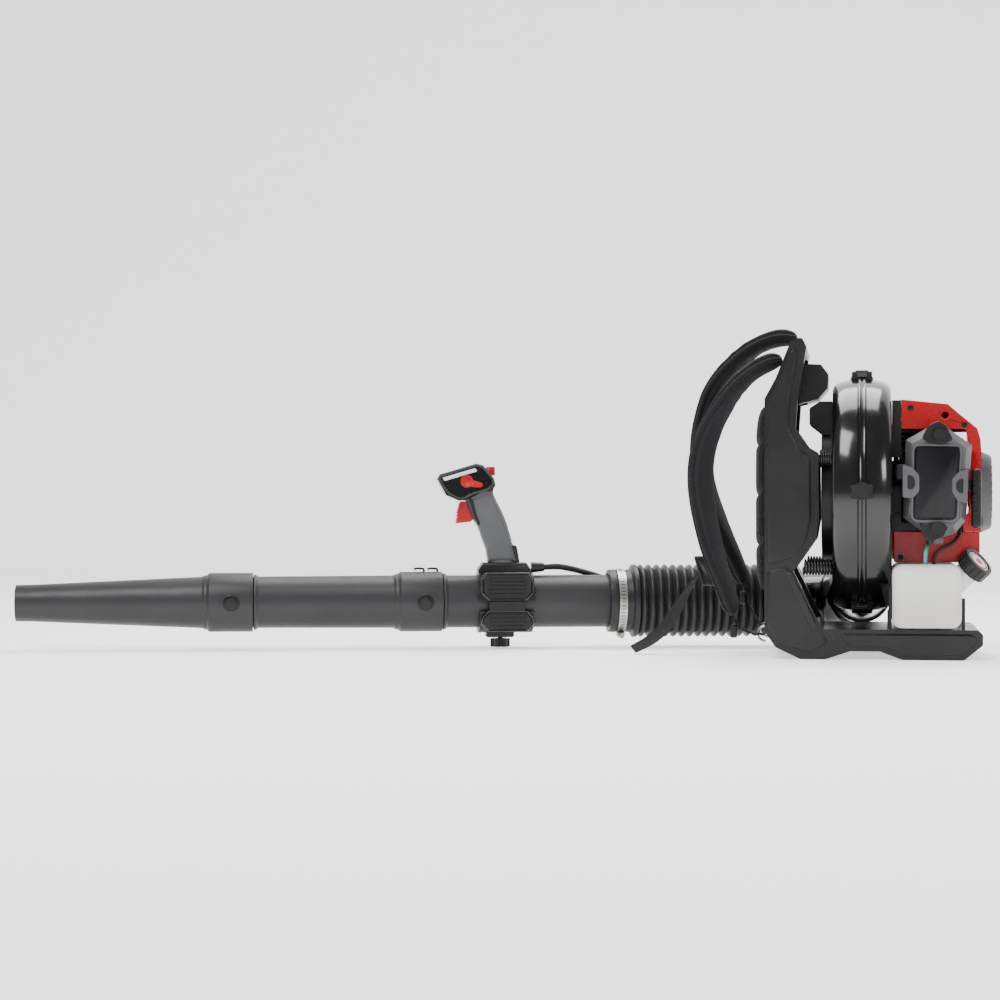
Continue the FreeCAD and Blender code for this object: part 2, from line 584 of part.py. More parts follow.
def make_grip():
    """Two grip shells, head bezel, trigger, cruise lever and stop rocker."""
    thick = size("grip_thick") / 2
    side = [(531, 158), (519, 128), (511, 115), (505, 98), (498, 79), (496, 62.5), (452, 62.5),
            (458, 83), (467, 114), (476, 138), (487.5, 161), (492, 172), (505, 172), (520, 164)]
    for label, low, high in (("grip_near_half", 0.1, thick), ("grip_far_half", -thick, -0.1)):
        shell = plate(side, low, high)
        outer_face = high if low > 0 else low
        edges = [e for e in shell.Edges if abs(e.BoundBox.YMax - outer_face) < 1e-3
                 and abs(e.BoundBox.YMin - outer_face) < 1e-3]
        shell = shell.makeFillet(7, edges).cut(box((500, -8.8, 116), (545, 8.8, 166)))
        solid(label, shell, duct_place())
    head = size("head_thick") / 2
    bezel = plate([(577, 191), (573, 199), (516, 216), (505, 213), (488, 192), (486, 182),
                   (492, 172.5), (505, 172.5), (520, 164.5), (533, 158.5), (544, 157.6),
                   (553, 162), (563, 166)], -head, head)
    edges = [e for e in bezel.Edges if abs(e.BoundBox.YLength) < 1e-3 and e.CenterOfMass.z > 180]
    bezel = bezel.makeFillet(3, edges)
    socket = rod((531.4, head - 4, 188), (531.4, head + 5, 188), 11)
    window = box((480, -8, 190), (500, 8, 220)).fuse(rod((536, -9, 153), (536, 9, 153), 8))
    solid("head_bezel", bezel.cut(socket).cut(window), duct_place())
    trigger = plate([(540.5, 157), (532, 157), (520.4, 128.3), (524, 124.5), (530, 124),
                     (547, 122), (546, 140)], -8, 8)
    ribs = [plate([(540 + i, 153 - 5 * i), (552, 153 - 5 * i), (552, 151 - 5 * i),
                   (540 + i, 151 - 5 * i)], -9, 9) for i in range(5)]
    solid("trigger", trigger.cut(Part.makeCompound(ribs).common(
        plate([(544.5, 157), (552, 157), (552, 120), (545.5, 120)], -9, 9))), duct_place())
    dial = rod((531.4, head - 3.6, 188), (531.4, head + 3, 188), 10)
    arm = plate([(533, 194), (508, 185.5), (506, 181), (511, 178), (533, 180)], head + 0.4,
                head + 3.4)
    solid("cruise_lever", dial.fuse(arm), duct_place())
    rocker = rounded(box((485.5, -7.4, 197), (499.4, 7.4, 211)), 2)
    solid("stop_switch", rocker, duct_place())


def make_conduit():
    """Corrugated throttle conduit from the grip to the hose cuff."""
    route = [(425, 0, 53), (404, 0, 53.5), (386, -5, 54), (366, -14, 51), (346, -22, 46),
             (328, -29, 41), (309, -36, 35)]
    cable("throttle_conduit", route, 4.5, duct_place())


# ------------------------------------------------------------------------------------- engine
def make_engine():
    """Crankcase, finned cylinder, piston, muffler, ignition and carburettor."""
    crank, shaft = size("crank_z"), size("shaft_rad")
    axis = Vector(1, 0, 0)
    case = rounded(box((-62.7, -42, 200), (18, 42, 292)), 6)
    room = Part.makeCylinder(28, 50, Vector(-48, 0, crank), axis)
    bearing = Part.makeCylinder(shaft + 0.05, 100, Vector(-70, 0, crank), axis)
    bore = Part.makeCylinder(size("bore_rad"), 100, Vector(-22, 0, crank), Vector(0, 0, 1))
    lugs = [box((-62.7, -68, 200), (-50, -38, 216)), box((-62.7, 38, 200), (-50, 68, 216))]
    case = case.multiFuse(lugs).cut(room).cut(bearing).cut(bore)
    solid("crankcase", case)
    barrel = Part.makeCylinder(size("bore_rad + 5"), 64, Vector(-22, 0, 292.2), Vector(0, 0, 1))
    fins = [rounded(box((-60, -40, z), (16, 40, z + 2.4)), 12, Vector(0, 0, 1))
            for z in range(297, 352, 7)]
    barrel = barrel.multiFuse(fins)
    barrel = barrel.cut(Part.makeCylinder(size("bore_rad"), 58, Vector(-22, 0, 292), Vector(0, 0, 1)))
    solid("cylinder", barrel)
    plug = rod((-22, 0, 356.4), (-22, 0, 364), 6).fuse(rod((-22, 0, 364), (-22, 0, 370), 9))
    solid("spark_plug", plug)
    muffler = rounded(box((-50, 44.5, 262), (14, 92, 326)), 8)
    outlet = rod((-18, 92, 290), (-18, 99, 290), 7)
    inlet = box((-34, 40.5, 300), (-10, 46, 320))
    solid("muffler", muffler.fuse(outlet).fuse(inlet))
    guard = box((-58, 43, 254), (24, 104, 332)).cut(box((-60, 20, 257), (21, 101, 329)))
    slots = [box((-50 + 12 * i, 90, 264), (-44 + 12 * i, 110, 322)) for i in range(6)]
    solid("muffler_guard", guard.cut(Part.makeCompound(slots)))
    coil = rounded(box((22, -18, 298), (44, 18, 324)), 3)
    solid("ignition_coil", coil)
    carb = rounded(box((-36, -84, 262), (0, -48, 296)), 3)
    throat = rod((-18, -84, 280), (-18, -42.2, 280), 12)
    carb = carb.fuse(throat).cut(rod((-18, -90, 280), (-18, -40, 280), 8))
    solid("carburettor", carb)


def make_cleaner():
    """Air cleaner on the near side: backing, filter, cover, gloss panel and its knobs."""
    face = size("cleaner_face")
    backing = plate([(-47, 206), (-43, 319), (3, 341), (49, 311), (41, 206), (24, 186), (-3, 178)],
                    -94, -88)
    backing = backing.cut(rod((-18, -100, 280), (-18, -80, 280), 9))
    solid("air_cleaner_backing", backing)
    element = rounded(box((-30, -122, 206), (30, -94.2, 304)), 6)
    solid("air_filter", element)
    rim = [(-47, 206), (-43, 319), (3, 345), (51, 311), (42, 203), (27, 184), (-2, 174)]
    bevel = [(-39, 212), (-35, 313), (3, 333), (42, 306), (34, 208), (23, 194), (-2, 185)]
    skin = size("cover_skin")

    def hull(inset, y_back, y_mid, y_face):
        def ring(points, y, share):
            mid_x, mid_z = 0, 258
            spots = [Vector(mid_x + (x - mid_x) * share, y, mid_z + (z - mid_z) * share)
                     for x, z in points]
            return Part.makePolygon(spots + spots[:1])
        share = 1 - inset / 50
        skirt = Part.makeLoft([ring(rim, y_back, share), ring(rim, y_mid, share)], True, True)
        crown = Part.makeLoft([ring(rim, y_mid, share), ring(bevel, y_face, share)], True, True)
        return skirt.fuse(crown)
    cover = hull(0, -94.3, -128, face).cut(hull(skin, -90, -127, face + skin))
    lugs = [box((-57, -112, 262), (-40, -100, 284)), box((45, -111, 244), (57, -104.5, 262))]
    latch = box((-4, -124, 168), (10, -110, 180))
    studs = [rod((3, face - 1, 325), (3, -100, 325), 3.2), rod((1, face - 1, 192), (1, -100, 192), 3.2)]
    solid("air_cleaner_cover", cover.multiFuse([rounded(l, 3) for l in lugs + [latch]]).cut(
        Part.makeCompound(studs)))
    panel = plate([(-29, 309), (32, 308), (25, 206), (-32, 206)], face - 4, face - 0.2)
    solid("cover_panel", rounded(panel, 1.5))
    for label, x, z in (("cover_knob_top", 3, 325), ("cover_knob_bottom", 1, 192)):
        head = rod((x, face - 12, z), (x, face - 0.3, z), 9)
        grooves = [rod((x + 10 * math.cos(a), face - 13, z + 10 * math.sin(a)),
                       (x + 10 * math.cos(a), face + 1, z + 10 * math.sin(a)), 2)
                   for a in (i * math.pi / 4 for i in range(8))]
        if label.endswith("top"):
            head = head.cut(Part.makeCompound(grooves))
        stem = rod((x, face - 1, z), (x, face + 18, z), 2.9)
        solid(label, head.fuse(stem))
    lever = box((-47, -86, 270), (-39, -60, 274)).fuse(rod((-40, -66, 272), (-36.3, -66, 272), 5))
    solid("choke_lever", lever.fuse(box((-58, -90, 268), (-46.5, -82, 276))))


def make_covers():
    """Red top cover, red lower shroud and the plates behind the starter."""
    skin = size("cover_skin")
    top = [(-49, 379), (18, 372), (34, 358), (58, 338), (65.5, 318)]
    under = [(62.3, 318), (55.6, 336), (32, 355.6), (17, 372 - skin), (-49, 379 - skin)]
    shell = plate(top + under, -84, 112)
    near = plate([(-49, 336), (-49, 379), (18, 372), (34, 358), (58, 338), (60, 336)], -87, -84)
    far = plate([(-49, 336), (-49, 379), (18, 372), (34, 358), (58, 338), (60, 336)], 112, 115)
    cover = shell.multiFuse([near, far]).removeSplitter()
    cover = cover.cut(rod((14, -90, 356), (14, -80, 356), 5))
    solid("engine_cover", cover)
    lower = box((-60, -80, 141), (64, 100, 186)).cut(box((-61, -77, 130), (61, 97, 183)))
    lower = lower.cut(box((-70, -71, 120), (70, 71, 200)))
    solid("lower_shroud", lower)
    back = plate([(60, 186.3), (60, 315), (63, 315), (66, 300), (66, 186.3)], -84, 100)
    flank = plate([(40, 186.3), (40, 205), (47, 214), (47, 315), (63, 315), (66, 300),
                   (66, 186.3)], -87, -84)
    strips = [box((-62.5, -87, low), (-49.4, -84, high)) for low, high in ((186.3, 252), (294, 378))]
    crank = size("crank_z")
    hole = Part.makeCylinder(54, 40, Vector(50, 0, crank), Vector(1, 0, 0))
    guide = rounded(box((46, -103.7, 222), (59.7, -84.3, 248)), 2)
    guide = guide.cut(rod((57, -110, 235), (57, -80, 235), 1.5))
    solid("rear_shroud", Part.makeCompound([back.cut(hole).multiFuse([flank, guide])] + strips))


def make_starter():
    """Recoil housing, rope pulley inside it and the pull grip."""
    crank, reach = size("crank_z"), size("recoil_rad")
    axis = Vector(1, 0, 0)
    dome = Part.makeCone(reach, reach - 8, 17, Vector(66.3, 0, crank), axis)
    dome = dome.cut(Part.makeCone(reach - 3, reach - 10, 14, Vector(66.2, 0, crank), axis))
    slots = []
    for number in range(10):
        slot = box((60, 24, -2.5), (90, 46, 2.5))
        slot.rotate(Vector(0, 0, 0), axis, number * 36)
        slots.append(slot.translated(Vector(0, 0, crank)))
    ears = [rod((66.3, reach * math.cos(a), crank + reach * math.sin(a)),
                (70, reach * math.cos(a), crank + reach * math.sin(a)), 7)
            for a in (math.pi / 4 + i * math.pi / 2 for i in range(4))]
    solid("recoil_housing", dome.cut(Part.makeCompound(slots)).multiFuse(ears).cut(
        Part.makeCompound([Part.makeCone(reach - 3, reach - 10, 14, Vector(66.2, 0, crank), axis)])))
    pulley = Part.makeCylinder(30, 8, Vector(69, 0, crank), axis)
    groove = Part.makeTorus(30, 2.4, Vector(73, 0, crank), axis)
    solid("starter_pulley", pulley.cut(groove))
    grip = rounded(box((50, -134, 192), (64, -112, 277)), 5)
    stem = rod((57, -112.5, 235), (57, -104, 235), 5)
    solid("starter_grip", grip.fuse(stem))


# --------------------------------------------------------------------------------------- fuel
def make_fuel():
    """Hollow tank with its neck, cap, brackets and the two fuel lines."""
    wall, low = size("tank_wall"), size("tank_floor")
    x_low, x_high = -63, -63 + size("tank_len")
    y_low, y_high = -150, -150 + size("tank_width")
    tank = rounded(box((x_low, y_low, low), (x_high, y_high, low + size("tank_high"))), 14)
    room = rounded(box((x_low + wall, y_low + wall, low + wall),
                       (x_high - wall, y_high - wall, low + size("tank_high") - wall)), 11)
    mouth = Vector(51, -114.5, 134)
    lean = Vector(1, -0.55, 1).normalize()
    neck = Part.makeCylinder(17, 42, mouth - lean * 36, lean)
    bore = Part.makeCylinder(14, 50, mouth - lean * 36, lean)
    solid("fuel_tank", tank.fuse(neck).cut(room.fuse(bore)))
    cap = Part.makeCylinder(size("cap_rad"), 18, mouth - lean * 4, lean)
    cap = cap.cut(Part.makeCylinder(17.3, 10.2, mouth - lean * 4, lean))
    grooves = []
    side = lean.cross(Vector(0, 0, 1)).normalize()
    up = lean.cross(side)
    for number in range(16):
        angle = number * math.pi / 8
        reach = size("cap_rad") + 0.6
        spot = mouth + side * (reach * math.cos(angle)) + up * (reach * math.sin(angle))
        grooves.append(Part.makeCylinder(2, 20, spot - lean * 5, lean))
    cap = cap.cut(Part.makeCompound(grooves))
    solid("fuel_cap", cap)
    top = low + size("tank_high")
    cable("supply_line", [(-15, -118, top), (-15.5, -118, 150), (-14, -113, 160), (-12, -104, 165),
                          (-10, -94, 168), (-9.5, -86, 176), (-10, -84, 190), (-12, -82, 208),
                          (-15, -77, 226), (-16, -70, 244), (-17, -68, 261.8)], 3)
    cable("return_line", [(-3, -112, top), (-3, -112, 149), (3, -110, 158), (14, -104, 164),
                          (26, -96, 170), (34, -88, 180), (37, -84, 194), (35, -84, 212),
                          (26, -82, 228), (12, -76, 240), (0, -69, 250), (-6, -66, 261.6)], 2.4)


def make_bracket():
    """Metal bracket that carries the blower on the base, and the duct bracket at the top."""
    crank = size("crank_z")
    upper = plate([(-149.4, 318), (-149.4, 378), (-168, 378), (-183, 368), (-183, 344)], -60, 60)
    upper = upper.cut(Part.makeCylinder(103, 40, Vector(-185, 0, crank), Vector(1, 0, 0)))
    low, x_low = size("tank_floor"), -63
    x_high = x_low + size("tank_len")
    brackets = []
    for x, y, high in ((x_low - 5, -118, 108), (x_low - 5, 30, 66), (x_high + 0.4, -118, 90),
                       (x_high + 0.4, 30, 98)):
        brackets.append(box((x, y - 14, low - 3), (x + 4.6, y + 14, high)))
    solid("mounting_brackets", Part.makeCompound([upper] + brackets))


for build in (make_frame, make_carry_handle, make_harness, make_isolators, make_volute,
              make_intake, make_rotor, make_elbow, make_pipe, make_clamp, make_grip, make_conduit,
              make_engine, make_cleaner, make_covers, make_starter, make_fuel, make_bracket):
    build()
doc.recompute()

for item in doc.Objects:
    if "Invalid" in item.State or "Error" in item.State:
        raise RuntimeError(item.Label + " failed: " + str(item.State))
for node in NODES:
    print(node.Label, len(node.Shape.Solids), round(node.Shape.Volume / 1000, 1), "cm3")
    if node.Shape.isNull() or not node.Shape.isValid() or not node.Shape.Solids:
        raise RuntimeError(node.Label + " has a faulty shape")

os.makedirs("parts", exist_ok=True)
for node in NODES:
    node.Shape.exportStep("parts/%s.step" % node.Label)
print(len(NODES), "nodes written")
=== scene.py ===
# %% [markdown]
# # A backpack leaf blower, finished in Blender
# The moving model is already designed: every rigid part sits where it belongs. This lesson
# dresses it. Round and soft parts are worked out again as smooth surfaces, flat-sided parts get
# softened edges, and every part gets a finish made from procedural textures.

# %% Load the frame
import json
import math
import bmesh
import bpy
import numpy as np
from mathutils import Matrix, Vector


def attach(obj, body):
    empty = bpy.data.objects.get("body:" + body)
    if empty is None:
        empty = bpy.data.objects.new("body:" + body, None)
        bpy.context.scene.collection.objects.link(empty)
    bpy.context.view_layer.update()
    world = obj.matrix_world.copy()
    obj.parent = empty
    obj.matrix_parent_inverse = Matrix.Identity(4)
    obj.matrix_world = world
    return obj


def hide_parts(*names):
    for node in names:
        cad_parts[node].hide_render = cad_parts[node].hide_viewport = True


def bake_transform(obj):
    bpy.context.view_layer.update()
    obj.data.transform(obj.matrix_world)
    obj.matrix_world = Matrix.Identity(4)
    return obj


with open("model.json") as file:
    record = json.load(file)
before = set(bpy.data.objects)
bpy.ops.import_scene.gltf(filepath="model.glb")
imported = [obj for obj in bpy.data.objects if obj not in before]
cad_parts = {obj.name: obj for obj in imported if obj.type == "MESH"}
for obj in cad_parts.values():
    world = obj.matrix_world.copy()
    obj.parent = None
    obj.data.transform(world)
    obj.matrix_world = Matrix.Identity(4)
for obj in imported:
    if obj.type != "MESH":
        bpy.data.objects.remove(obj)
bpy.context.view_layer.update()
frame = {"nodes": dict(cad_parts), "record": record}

joints = {joint["name"]: joint for joint in frame["record"]["behaviour"]["joints"]}
MM = 0.001
print("parts:", len(frame["nodes"]), "joints:", len(joints))

# %% [markdown]
# ## The camera
# The blower is shown from the wearer's left, at the height of the fan. The camera stands beside
# the pack, about 3.7 m away, and turns a little towards the nozzle, because that is how the long
# air pipe fits in one picture without looking foreshortened.

# %% Camera
EYE = (-0.109, -3.74, 0.232)
EYE_TURN = math.radians(8.3)
FOCAL_SHARE = 2.467
lens = bpy.data.cameras.new("side_camera")
lens.sensor_width = 36
lens.lens = FOCAL_SHARE * lens.sensor_width
camera = bpy.data.objects.new("side_camera", lens)
bpy.context.collection.objects.link(camera)
camera.location = EYE
camera.rotation_euler = (math.radians(90), 0, EYE_TURN)
bpy.context.scene.camera = camera
print("lens", round(lens.lens, 1), "mm")

# %% [markdown]
# ## Floor and light
# A pale floor and a large soft light on each side give moulded plastic its long quiet highlights.

# %% Stage
def add_light(name, spot, aim, width, power):
    """A square soft light at a spot, turned to face the aim."""
    lamp = bpy.data.lights.new(name, "AREA")
    lamp.shape = "SQUARE"
    lamp.size = width
    lamp.energy = power
    item = bpy.data.objects.new(name, lamp)
    bpy.context.collection.objects.link(item)
    item.location = spot
    item.rotation_euler = (Vector(aim) - Vector(spot)).to_track_quat("-Z", "Y").to_euler()
    return item


floor_mesh = bpy.data.meshes.new("floor")
FLOOR_HALF = 30.0
WALL_BACK, WALL_HIGH = 5.0, 12.0
floor_mesh.from_pydata([(-FLOOR_HALF, -FLOOR_HALF, 0), (FLOOR_HALF, -FLOOR_HALF, 0),
                        (FLOOR_HALF, WALL_BACK, 0), (-FLOOR_HALF, WALL_BACK, 0),
                        (FLOOR_HALF, WALL_BACK, WALL_HIGH), (-FLOOR_HALF, WALL_BACK, WALL_HIGH)],
                       [], [(0, 1, 2, 3), (3, 2, 4, 5)])
paper = bpy.data.materials.new("paper_white")
paper.use_nodes = True
sheen = paper.node_tree.nodes["Principled BSDF"]
sheen.inputs["Base Color"].default_value = (0.9, 0.9, 0.9, 1)
sheen.inputs["Roughness"].default_value = 0.9
sheen.inputs["Emission Color"].default_value = (1, 1, 1, 1)
sheen.inputs["Emission Strength"].default_value = 0.9
floor_mesh.materials.append(paper)
floor = bpy.data.objects.new("floor", floor_mesh)
bpy.context.collection.objects.link(floor)
add_light("key_light", (-1.4, -2.0, 3.0), (-0.4, 0, 0.2), 1.6, 120)
add_light("fill_light", (2.0, -2.4, 1.5), (0, 0, 0.2), 1.0, 45)
add_light("top_light", (-0.4, 0.9, 2.6), (-0.4, 0, 0.1), 1.8, 90)
world = bpy.data.worlds.new("studio")
bpy.context.scene.world = world
world.use_nodes = True
world.node_tree.nodes["Background"].inputs["Color"].default_value = (0.93, 0.94, 0.96, 1)
world.node_tree.nodes["Background"].inputs["Strength"].default_value = 0.32
print("lights:", 3)

# %% [markdown]
# ## Finishes
# A moulded plastic isn't one colour: it has a fine spark-eroded grain, slow cloudiness, and
# patches that are shinier where hands and cloth have polished it. One recipe makes all of these
# from three noise textures on Object coordinates; each finish has its own colours and scales.

# %% The finish recipe
def new_material(name):
    """An empty node material: returns the material, its tree and its main shader."""
    material = bpy.data.materials.new(name)
    material.use_nodes = True
    tree = material.node_tree
    return material, tree, tree.nodes["Principled BSDF"]


def add_noise(tree, place, scale, detail=3.0, rough=0.55):
    """A noise texture read at a place socket, with its scale in cycles per metre."""
    noise = tree.nodes.new("ShaderNodeTexNoise")
    noise.inputs["Scale"].default_value = scale
    noise.inputs["Detail"].default_value = detail
    noise.inputs["Roughness"].default_value = rough
    tree.links.new(place, noise.inputs["Vector"])
    return noise.outputs["Fac"]


def add_range(tree, value, low, high, from_low=0.3, from_high=0.7):
    """Stretch a value from one range to another."""
    stretch = tree.nodes.new("ShaderNodeMapRange")
    stretch.inputs["From Min"].default_value = from_low
    stretch.inputs["From Max"].default_value = from_high
    stretch.inputs["To Min"].default_value = low
    stretch.inputs["To Max"].default_value = high
    tree.links.new(value, stretch.inputs["Value"])
    return stretch.outputs["Result"]


def add_mix(tree, share, first, second):
    """Mix two colours by a share."""
    mix = tree.nodes.new("ShaderNodeMix")
    mix.data_type = "RGBA"
    mix.inputs["A"].default_value = (*first, 1)
    mix.inputs["B"].default_value = (*second, 1)
    tree.links.new(share, mix.inputs["Factor"])
    return mix.outputs["Result"]


def add_bump(tree, shader, height, depth, strength=1.0):
    """Raise the surface by a height texture; depth is in metres."""
    bump = tree.nodes.new("ShaderNodeBump")
    bump.inputs["Distance"].default_value = depth
    bump.inputs["Strength"].default_value = strength
    tree.links.new(height, bump.inputs["Height"])
    tree.links.new(bump.outputs["Normal"], shader.inputs["Normal"])


def moulded(name, colour, worn, gloss, grain=900.0, depth=0.00008, metal=0.0, coat=0.0,
            shine=0.28):
    """Moulded plastic, rubber or metal: grain, cloudiness and polished patches.

    gloss is the (low, high) roughness between which the patches wander.
    """
    material, tree, shader = new_material(name)
    place = tree.nodes.new("ShaderNodeTexCoord").outputs["Object"]
    cloud = add_range(tree, add_noise(tree, place, 9.0, 4), 0, 1, 0.35, 0.7)
    tree.links.new(add_mix(tree, cloud, colour, worn), shader.inputs["Base Color"])
    patches = add_noise(tree, place, 38.0, 5, 0.65)
    tree.links.new(add_range(tree, patches, *gloss), shader.inputs["Roughness"])
    add_bump(tree, shader, add_noise(tree, place, grain, 2), depth, 0.6)
    shader.inputs["Metallic"].default_value = metal
    shader.inputs["Specular IOR Level"].default_value = shine
    shader.inputs["Coat Weight"].default_value = coat
    shader.inputs["Coat Roughness"].default_value = 0.12
    return material


FINISH = {
    "frame": moulded("frame_black", (0.006, 0.006, 0.0065), (0.011, 0.011, 0.0115), (0.26, 0.4),
                     700, 0.00012, coat=0.12),
    "gloss": moulded("volute_gloss", (0.003, 0.003, 0.0035), (0.005, 0.005, 0.0055), (0.14, 0.24),
                     120, 0.00006, coat=0.6),
    "tube": moulded("tube_charcoal", (0.021, 0.021, 0.0225), (0.027, 0.027, 0.0285), (0.36, 0.46),
                    1100, 0.00006),
    "hose": moulded("hose_rubber", (0.013, 0.013, 0.014), (0.021, 0.021, 0.022), (0.3, 0.45),
                    800, 0.0001),
    "red": moulded("cover_red", (0.37, 0.0015, 0.004), (0.31, 0.001, 0.003), (0.2, 0.34), 500,
                   0.00004, coat=0.35),
    "grey": moulded("cover_grey", (0.062, 0.063, 0.067), (0.08, 0.081, 0.086), (0.4, 0.54), 1200,
                    0.0001),
    "black": moulded("fitting_black", (0.006, 0.006, 0.0065), (0.011, 0.011, 0.0115), (0.3, 0.44),
                     1000, 0.0001),
    "panel": moulded("panel_black", (0.004, 0.004, 0.005), (0.007, 0.007, 0.008), (0.08, 0.16),
                     60, 0.00002, coat=0.15, shine=0.15),
    "steel": moulded("zinc_steel", (0.5, 0.49, 0.45), (0.36, 0.35, 0.32), (0.24, 0.42), 400,
                     0.00004, metal=1.0),
    "cast": moulded("cast_alloy", (0.3, 0.3, 0.31), (0.2, 0.2, 0.21), (0.42, 0.62), 600,
                    0.00025, metal=1.0),
    "stained": moulded("muffler_steel", (0.28, 0.25, 0.22), (0.16, 0.13, 0.11), (0.35, 0.6), 300,
                       0.0001, metal=1.0),
    "teal": moulded("teal_tube", (0.03, 0.36, 0.34), (0.05, 0.42, 0.4), (0.15, 0.25), 90, 0.00002,
                    coat=0.4),
    "rubber": moulded("black_tube", (0.012, 0.012, 0.012), (0.02, 0.02, 0.02), (0.3, 0.45), 500,
                      0.00005),
    "spring": moulded("spring_black", (0.02, 0.02, 0.021), (0.05, 0.05, 0.05), (0.2, 0.35), 300,
                      0.00003, metal=0.6),
    "pale": moulded("pale_print", (0.72, 0.72, 0.74), (0.66, 0.66, 0.68), (0.3, 0.4), 300,
                    0.00002),
    "paper": moulded("filter_paper", (0.62, 0.56, 0.4), (0.5, 0.44, 0.3), (0.7, 0.9), 900, 0.0003),
}
print("finishes:", len(FINISH))

# %% [markdown]
# The tank is blow-moulded from milky plastic: light goes in, scatters and comes out softened, so
# it is part translucent. A darker level shows faintly where fuel stains the lower half.

# %% Tank finish
def milky(name):
    """Milky plastic: part subsurface, with a fuel-stained lower half by height."""
    material, tree, shader = new_material(name)
    place = tree.nodes.new("ShaderNodeTexCoord").outputs["Object"]
    split = tree.nodes.new("ShaderNodeSeparateXYZ")
    tree.links.new(place, split.inputs["Vector"])
    stain = add_range(tree, split.outputs["Z"], 1, 0, 0.06, 0.12)
    tree.links.new(add_mix(tree, stain, (0.74, 0.73, 0.7), (0.62, 0.6, 0.55)),
                   shader.inputs["Base Color"])
    tree.links.new(add_range(tree, add_noise(tree, place, 60), 0.28, 0.42),
                   shader.inputs["Roughness"])
    add_bump(tree, shader, add_noise(tree, place, 500), 0.0001, 0.5)
    shader.inputs["Subsurface Weight"].default_value = 0.35
    shader.inputs["Subsurface Radius"].default_value = (0.01, 0.009, 0.008)
    shader.inputs["Subsurface Scale"].default_value = 0.6
    return material


FINISH["tank"] = milky("tank_milky")

# %% [markdown]
# Cloth is woven, so its pattern follows the surface. The straps and pad carry a UV map measured
# in metres, and the weave, the open 3-D mesh and the ribbed webbing are drawn on that.

# %% Cloth finishes
def woven(name, colour, shade, pitch, depth, mesh=False, rough=0.85):
    """Cloth on a UV map in metres: two crossed waves, or round mesh holes, a pitch apart."""
    material, tree, shader = new_material(name)
    place = tree.nodes.new("ShaderNodeUVMap").outputs["UV"]
    if mesh:
        cells = tree.nodes.new("ShaderNodeTexVoronoi")
        cells.inputs["Scale"].default_value = 1 / pitch
        cells.inputs["Randomness"].default_value = 0.25
        tree.links.new(place, cells.inputs["Vector"])
        height = add_range(tree, cells.outputs["Distance"], 0, 1, 0.12, 0.5)
    else:
        waves = []
        for direction in ("X", "Y"):
            wave = tree.nodes.new("ShaderNodeTexWave")
            wave.bands_direction = direction
            wave.inputs["Scale"].default_value = 0.314 / pitch
            wave.inputs["Distortion"].default_value = 0.4
            tree.links.new(place, wave.inputs["Vector"])
            waves.append(wave.outputs["Fac"])
        cross = tree.nodes.new("ShaderNodeMath")
        cross.operation = "MULTIPLY"
        tree.links.new(waves[0], cross.inputs[0])
        tree.links.new(waves[1], cross.inputs[1])
        height = cross.outputs[0]
    tree.links.new(add_mix(tree, height, shade, colour), shader.inputs["Base Color"])
    shader.inputs["Roughness"].default_value = rough
    shader.inputs["Specular IOR Level"].default_value = 0.15
    shader.inputs["Sheen Weight"].default_value = 0.1
    shader.inputs["Sheen Roughness"].default_value = 0.4
    add_bump(tree, shader, height, depth, 0.9)
    return material


FINISH["strap"] = woven("strap_cloth", (0.022, 0.022, 0.025), (0.013, 0.013, 0.015), 0.0011,
                        0.0003)
FINISH["mesh"] = woven("spacer_mesh", (0.012, 0.012, 0.013), (0.001, 0.001, 0.001), 0.0034, 0.0011,
                       mesh=True)
FINISH["webbing"] = woven("webbing", (0.026, 0.025, 0.026), (0.012, 0.012, 0.012), 0.0016, 0.0005)
FINISH["binding"] = woven("strap_binding", (0.022, 0.022, 0.024), (0.01, 0.01, 0.011), 0.0009,
                          0.0003)
print("finishes:", len(FINISH))

# %% [markdown]
# ## From numbers to a mesh
# Every new surface is a grid of points: rows run one way, columns the other. The helper joins
# neighbouring points into four-sided faces, wraps the grid where it closes on itself, and turns
# the faces outwards.


def finished(name, mesh, finish, sharp=None, weld=None):
    """Weld a mesh, turn its faces outwards, shade it, and make it an object with a finish."""
    tidy = bmesh.new()
    tidy.from_mesh(mesh)
    if weld:
        bmesh.ops.remove_doubles(tidy, verts=tidy.verts, dist=weld)
    bmesh.ops.recalc_face_normals(tidy, faces=tidy.faces)
    tidy.to_mesh(mesh)
    tidy.free()
    if sharp:
        mesh.polygons.foreach_set("use_smooth", [True] * len(mesh.polygons))
        mesh.set_sharp_from_angle(angle=math.radians(sharp))
    mesh.materials.append(FINISH[finish])
    piece = bpy.data.objects.new(name, mesh)
    bpy.context.collection.objects.link(piece)
    return piece


def add_bevel(piece, width, segments, angle):
    """A narrow bevel along every edge sharper than the angle, in degrees."""
    bevel = piece.modifiers.new("edge", "BEVEL")
    bevel.width = width * MM
    bevel.segments = segments
    bevel.limit_method = "ANGLE"
    bevel.angle_limit = math.radians(angle)
    bevel.harden_normals = True


